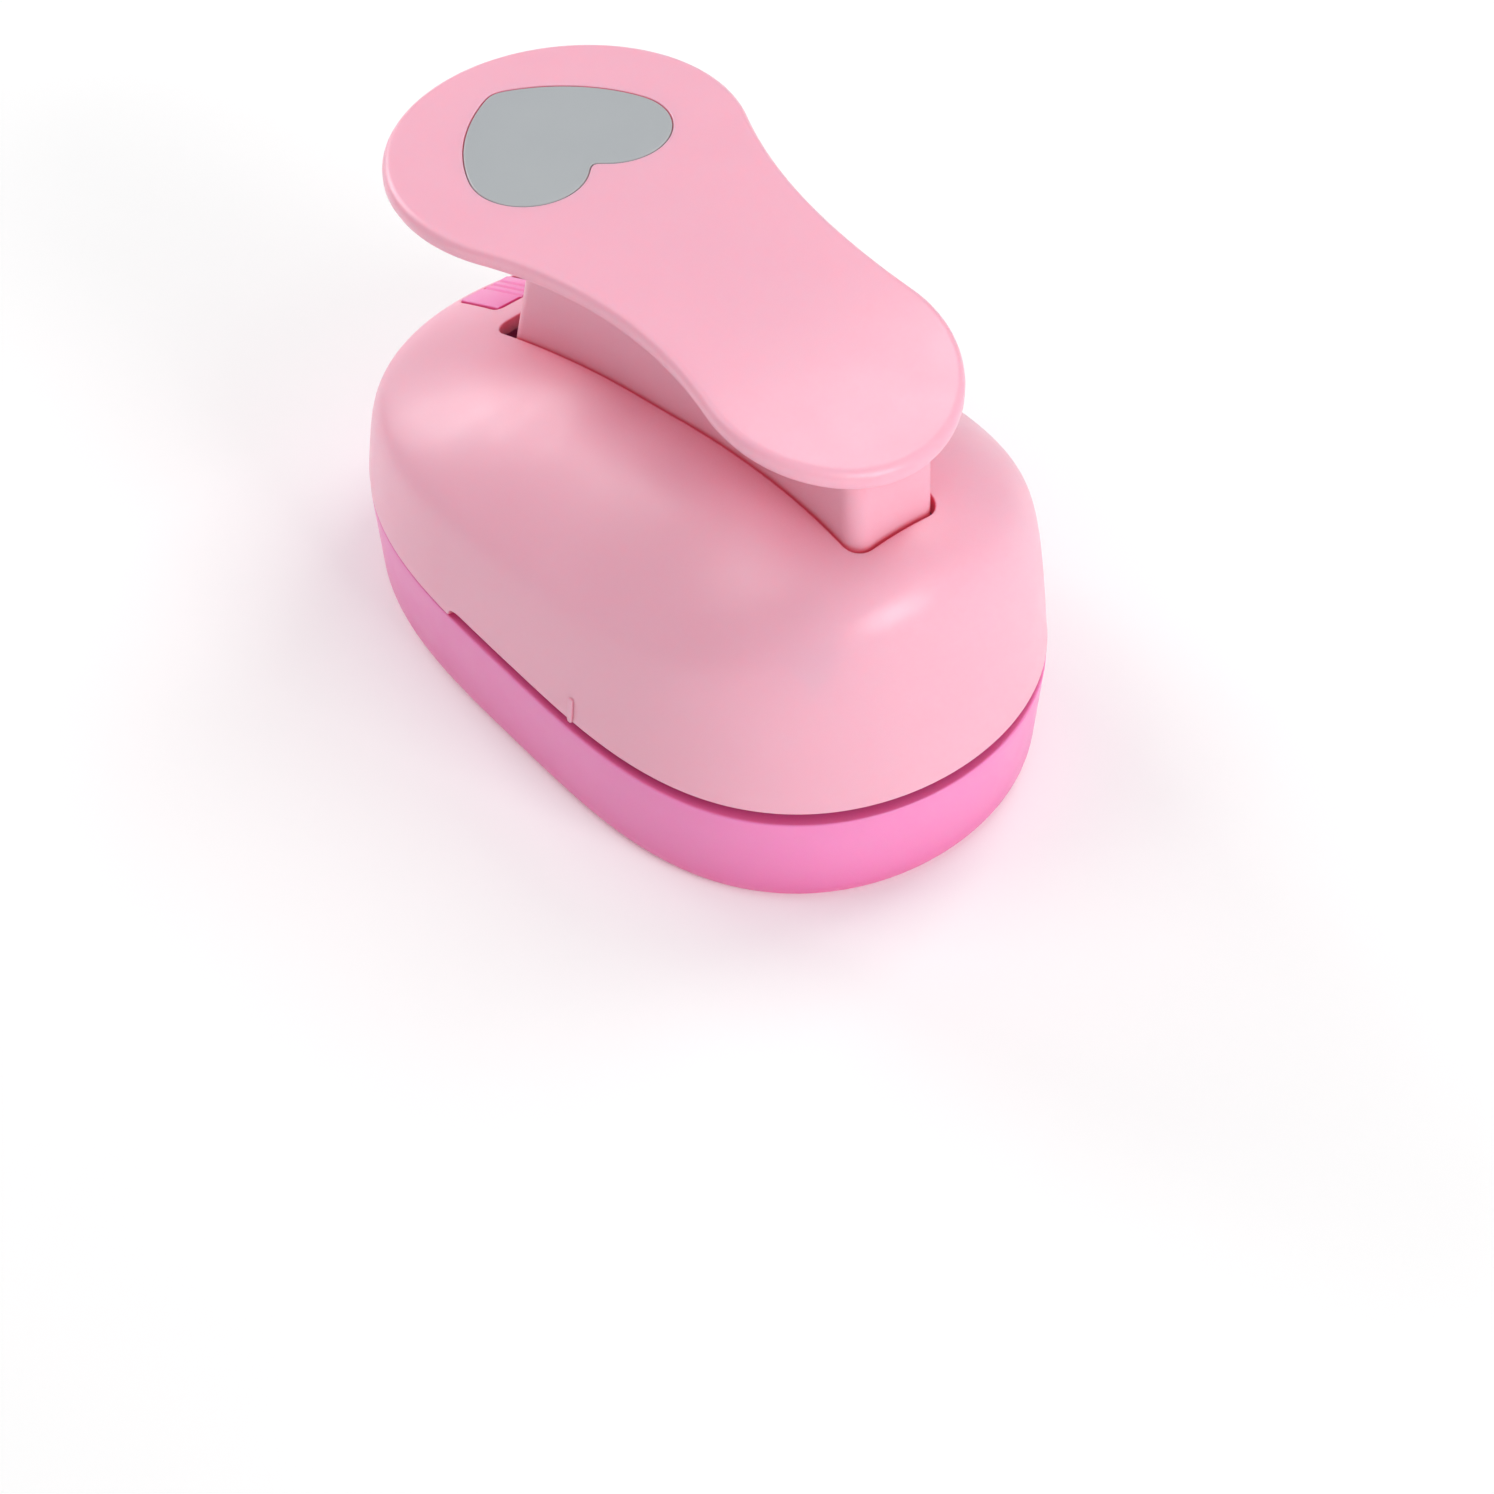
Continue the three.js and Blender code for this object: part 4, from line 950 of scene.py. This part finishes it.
def lever():
    """Plate and hollow skirt in one moulding, with the hinge hub and the nose that presses the ram."""
    obj = plate_skin().thing("lever_moulding")
    combine(obj, "UNION", [skirt_skin(0, 1.6)])
    combine(obj, "DIFFERENCE", [skirt_skin(SKIRT_WALL, PLATE_THICKNESS + 0.3, 14)])
    nose_z = BUTTON_TOP + NOSE_R + 0.3
    hub = cross_rod(HINGE_HUB_R, SKIRT_HALF, HINGE_Y, HINGE_Z)
    nose = cross_rod(NOSE_R, SKIRT_HALF - 1, RAM_Y, nose_z)
    combine(obj, "UNION", [hub, nose])
    # notch in the far wall for the lock catch
    x0, x1 = catch_low[0] - 0.1, catch_high[0] + 0.1
    y0, y1 = 33, 40.5
    notch = Skin()
    notch.prism(np.array([[x0, y0], [x1, y0], [x1, y1], [x0, y1]]), [], 30, TONGUE_TOP + 0.1, 0.001)
    combine(obj, "DIFFERENCE", [notch, cross_rod(HINGE_BORE_R, 20, HINGE_Y, HINGE_Z)])
    return dress(shade(obj), PINK, "lever", "pink_plastic", "lever")


def lever_badge():
    """Heart inlay that lies in the recess of the plate."""
    skin = Skin()
    outline = heart(BADGE, -0.02, 160)
    soft = 0.25
    sunk = 0.05
    thick = 0.75

    def edge(margin, depth):
        xy = grown(outline, -margin)
        return skin.flat_ring(xy, lever_top(xy[:, 1]) - depth)

    rows = [edge(0, sunk + thick)]
    for t in np.linspace(0, pi / 2, 5):
        rows.append(edge(soft * (1 - cos(t)), sunk + soft * (1 - sin(t))))
    rows.append(edge(soft + 0.3, sunk))
    skin.stack(rows)
    skin.cap(rows[0], [], 1.6, lambda x, y: lever_top(y) - sunk - thick)
    skin.cap(rows[-1], [], 1.6, lambda x, y: lever_top(y) - sunk)
    obj = skin.thing("lever_badge_inlay")
    return dress(shade(obj), BADGE_GREY, "lever", "badge_plastic", "lever_badge")


# ---------- lock slider ----------


def slider_top(y):
    """Height of the thumb piece along the housing's slope."""
    return slider_high[2] + SLIDER_PROUD - SLIDER_SLOPE * (y - WINDOW_Y[0] - SLIDER_GAP)


def sloped(outline, y0, y1, soft):
    """Outline drawn in X and Z below the slope, carried along Y."""
    skin = Skin()
    skin.prism(outline, [], y0, y1, soft, 1.2)
    skin.turn_axes((0, 2, 1))
    skin.shift(lambda p: np.column_stack([np.zeros((len(p), 2)), slider_top(p[:, 1])]))
    return skin


def lock_slider():
    """Grooved thumb piece, the foot that holds it in the window and the arm that blocks the catch."""
    overhang = 0.6
    x0, x1 = slider_low[0] + overhang, slider_high[0] - overhang
    width = x1 - x0
    groove, depth = 0.3, 0.3
    top = [(x1, -5.0), (x1, 0.0)]
    for share in (0.8, 0.65, 0.5):
        x = x0 + width * share
        top += [(x + groove, 0), (x + groove * 0.7, -depth), (x - groove * 0.7, -depth), (x - groove, 0)]
    top += [(x0, 0.0), (x0, -5.0)]
    outline = even(softened(even(np.array(top), 900), 0.35), 300)
    near, far = WINDOW_Y[0] + SLIDER_GAP, WINDOW_Y[1] - SLIDER_GAP
    obj = sloped(outline, near, far, 0.12).thing("lock_slider_piece")
    plate = rounded_rect(x0 - overhang, x1 + overhang, -5.6, -4.2, 0.2, 4)
    foot = sloped(plate, near - 1.6, far - 2.6, 0.15)
    arm_z = slider_low[2]
    thick = 1.8
    root = slider_top(near) - 4.6
    side_view = np.array([
        [near - 2.6, arm_z + thick],
        [near - 1.4, root],
        [near - 1, root],
        [near - 1, arm_z],
        [slider_low[1], arm_z],
        [slider_low[1], arm_z + thick],
    ])[::-1]
    arm = Skin()
    arm.prism(even(side_view, 160), [], x0 + 0.4, x0 + 3.4, 0.1, 1.5)
    arm.turn_axes((2, 0, 1))
    combine(obj, "UNION", [foot, arm])
    return dress(shade(obj), MAGENTA, "lock", "magenta_plastic", "lock_slider")


# ---------- return springs ----------


def return_spring(name, side):
    """Coil spring on a guide post, shortened by the ram."""
    skin = Skin()
    clear = SPRING_WIRE_R + 0.02
    turns = SPRING_TURNS + 1.5
    t = np.linspace(0, 1, int(turns * 32) + 1)
    # the end coils lie flat against the plates
    lift = np.clip((t * turns - 0.75) / (turns - 1.5), 0, 1)
    z = GUIDE_TOP + clear + (CUTTER_TOP - GUIDE_TOP - 2 * clear) * lift
    turn = tau * turns * t
    x, y = side * POST_X + SPRING_R * np.cos(turn), RAM_Y + SPRING_R * np.sin(turn)
    skin.swept(np.column_stack([x, y, z]), SPRING_WIRE_R)
    obj = skin.thing(f"return_coil_{name}")
    dress(shade(obj), SPRING, "root", "spring_steel", f"return_spring_{name}")
    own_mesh(obj)


# ---------- carried-over nodes ----------

SLOT_MATERIALS = {
    "pink_plastic": PINK,
    "magenta_plastic": MAGENTA,
    "badge_plastic": BADGE_GREY,
    "steel": STEEL,
    "zinc_plate": ZINC,
    "spring_steel": SPRING,
    "brass": BRASS,
    "nylon": NYLON,
}


def finish_node(obj, slot):
    """Gives a node that keeps its own mesh its material and a light round on its edges."""
    obj.data.materials.clear()
    obj.data.materials.append(SLOT_MATERIALS[slot])
    weld = obj.modifiers.new("weld", "WELD")
    weld.merge_threshold = 1e-6
    bevel = obj.modifiers.new("bevel", "BEVEL")
    bevel.width = 0.12 * MM
    bevel.segments = 2
    bevel.limit_method = "ANGLE"
    bevel.angle_limit = radians(40)
    bevel.harden_normals = True


# ---------- the pieces ----------

upper_housing()
base_tray()
lever()
lever_badge()
lock_slider()
for name, side in SIDES:
    return_spring(name, side)

for part in frame["record"]["subparts"]:
    node = frame["nodes"][part["node"]]
    if not node.hide_render:
        finish_node(node, part["material_slot"])


# ---------- floor, light and camera ----------


def floor():
    """Plain pale floor just under the object."""
    data = bpy.data.meshes.new("floor")
    reach = 3.0
    level = -0.00002
    corners = [(x * reach, y * reach, level) for x, y in ((-1, -1), (1, -1), (1, 1), (-1, 1))]
    data.from_pydata(corners, [], [(0, 1, 2, 3)])
    material, tree, shader, place = new_material("floor_paper")
    shade_of_white = remap(tree, noise(tree, place, 8, 3), 0.86, 0.88)
    tree.links.new(shade_of_white, shader.inputs["Base Color"])
    shader.inputs["Roughness"].default_value = 0.8
    shader.inputs["Emission Color"].default_value = (1, 1, 1, 1)
    # the floor fades into the pale backdrop away from the object
    away = tree.nodes.new("ShaderNodeVectorMath")
    away.operation = "LENGTH"
    tree.links.new(place, away.inputs[0])
    fade = remap(tree, away.outputs["Value"], 0.0, 0.8, 0.25, 0.9)
    seen = tree.nodes.new("ShaderNodeLightPath").outputs["Is Camera Ray"]
    glow = tree.nodes.new("ShaderNodeMath")
    glow.operation = "MULTIPLY_ADD"
    glow.inputs[2].default_value = 0.14
    tree.links.new(fade, glow.inputs[0])
    tree.links.new(seen, glow.inputs[1])
    tree.links.new(glow.outputs["Value"], shader.inputs["Emission Strength"])
    data.materials.append(material)
    obj = bpy.data.objects.new("floor", data)
    bpy.context.scene.collection.objects.link(obj)


def direction(azimuth, elevation):
    """Unit vector from the object outwards; azimuth 0 is the throat side, 90 the right flank."""
    a, e = radians(azimuth), radians(elevation)
    return Vector((sin(a) * cos(e), -cos(a) * cos(e), sin(e)))


def softbox(name, azimuth, elevation, power):
    """Square area light that looks at the middle of the object."""
    aim = Vector((0, 0, 40)) * MM
    distance = 0.95
    light = bpy.data.lights.new(name, "AREA")
    light.shape = "SQUARE"
    light.size = 0.4
    light.energy = power
    obj = bpy.data.objects.new(name, light)
    out = direction(azimuth, elevation)
    obj.location = aim + out * distance
    obj.rotation_mode = "QUATERNION"
    obj.rotation_quaternion = (-out).to_track_quat("-Z", "Y")
    bpy.context.scene.collection.objects.link(obj)


def studio():
    """Soft light from four sides and an even pale surround."""
    scene = bpy.context.scene
    world = bpy.data.worlds.new("studio")
    world.use_nodes = True
    tree = world.node_tree
    # soft fill for the object, plain white where the camera looks past the floor
    ray = tree.nodes.new("ShaderNodeLightPath")
    strength = remap(tree, ray.outputs["Is Camera Ray"], 0.35, 0.96, 0, 1)
    tree.links.new(strength, tree.nodes["Background"].inputs["Strength"])
    tree.nodes["Background"].inputs["Color"].default_value = (1, 1, 1, 1)
    scene.world = world
    softbox("front", 5, 25, 4.3)
    softbox("right", 95, 58, 2.5)
    softbox("back", -175, 25, 2.9)
    softbox("back_left", -130, 58, 1.5)
    scene.view_settings.view_transform = "Standard"
    scene.view_settings.look = "None"


def camera():
    """View from high over the near left, with a long lens."""
    data = bpy.data.cameras.new("camera")
    data.sensor_width = 36
    data.lens = 85.9
    data.clip_start, data.clip_end = 0.01, 20
    obj = bpy.data.objects.new("camera", data)
    # the view's middle falls on the table side of the throat, left of the body
    target = (Vector((-19.98, -34.27, 18.0)) + Vector(ORIGIN.tolist())) * MM
    back = direction(-39.38, 48.29)
    obj.location = target + back * 523.6 * MM
    obj.rotation_mode = "QUATERNION"
    obj.rotation_quaternion = (-back).to_track_quat("-Z", "Y")
    bpy.context.scene.collection.objects.link(obj)
    bpy.context.scene.camera = obj


floor()
studio()
camera()

bpy.context.view_layer.update()
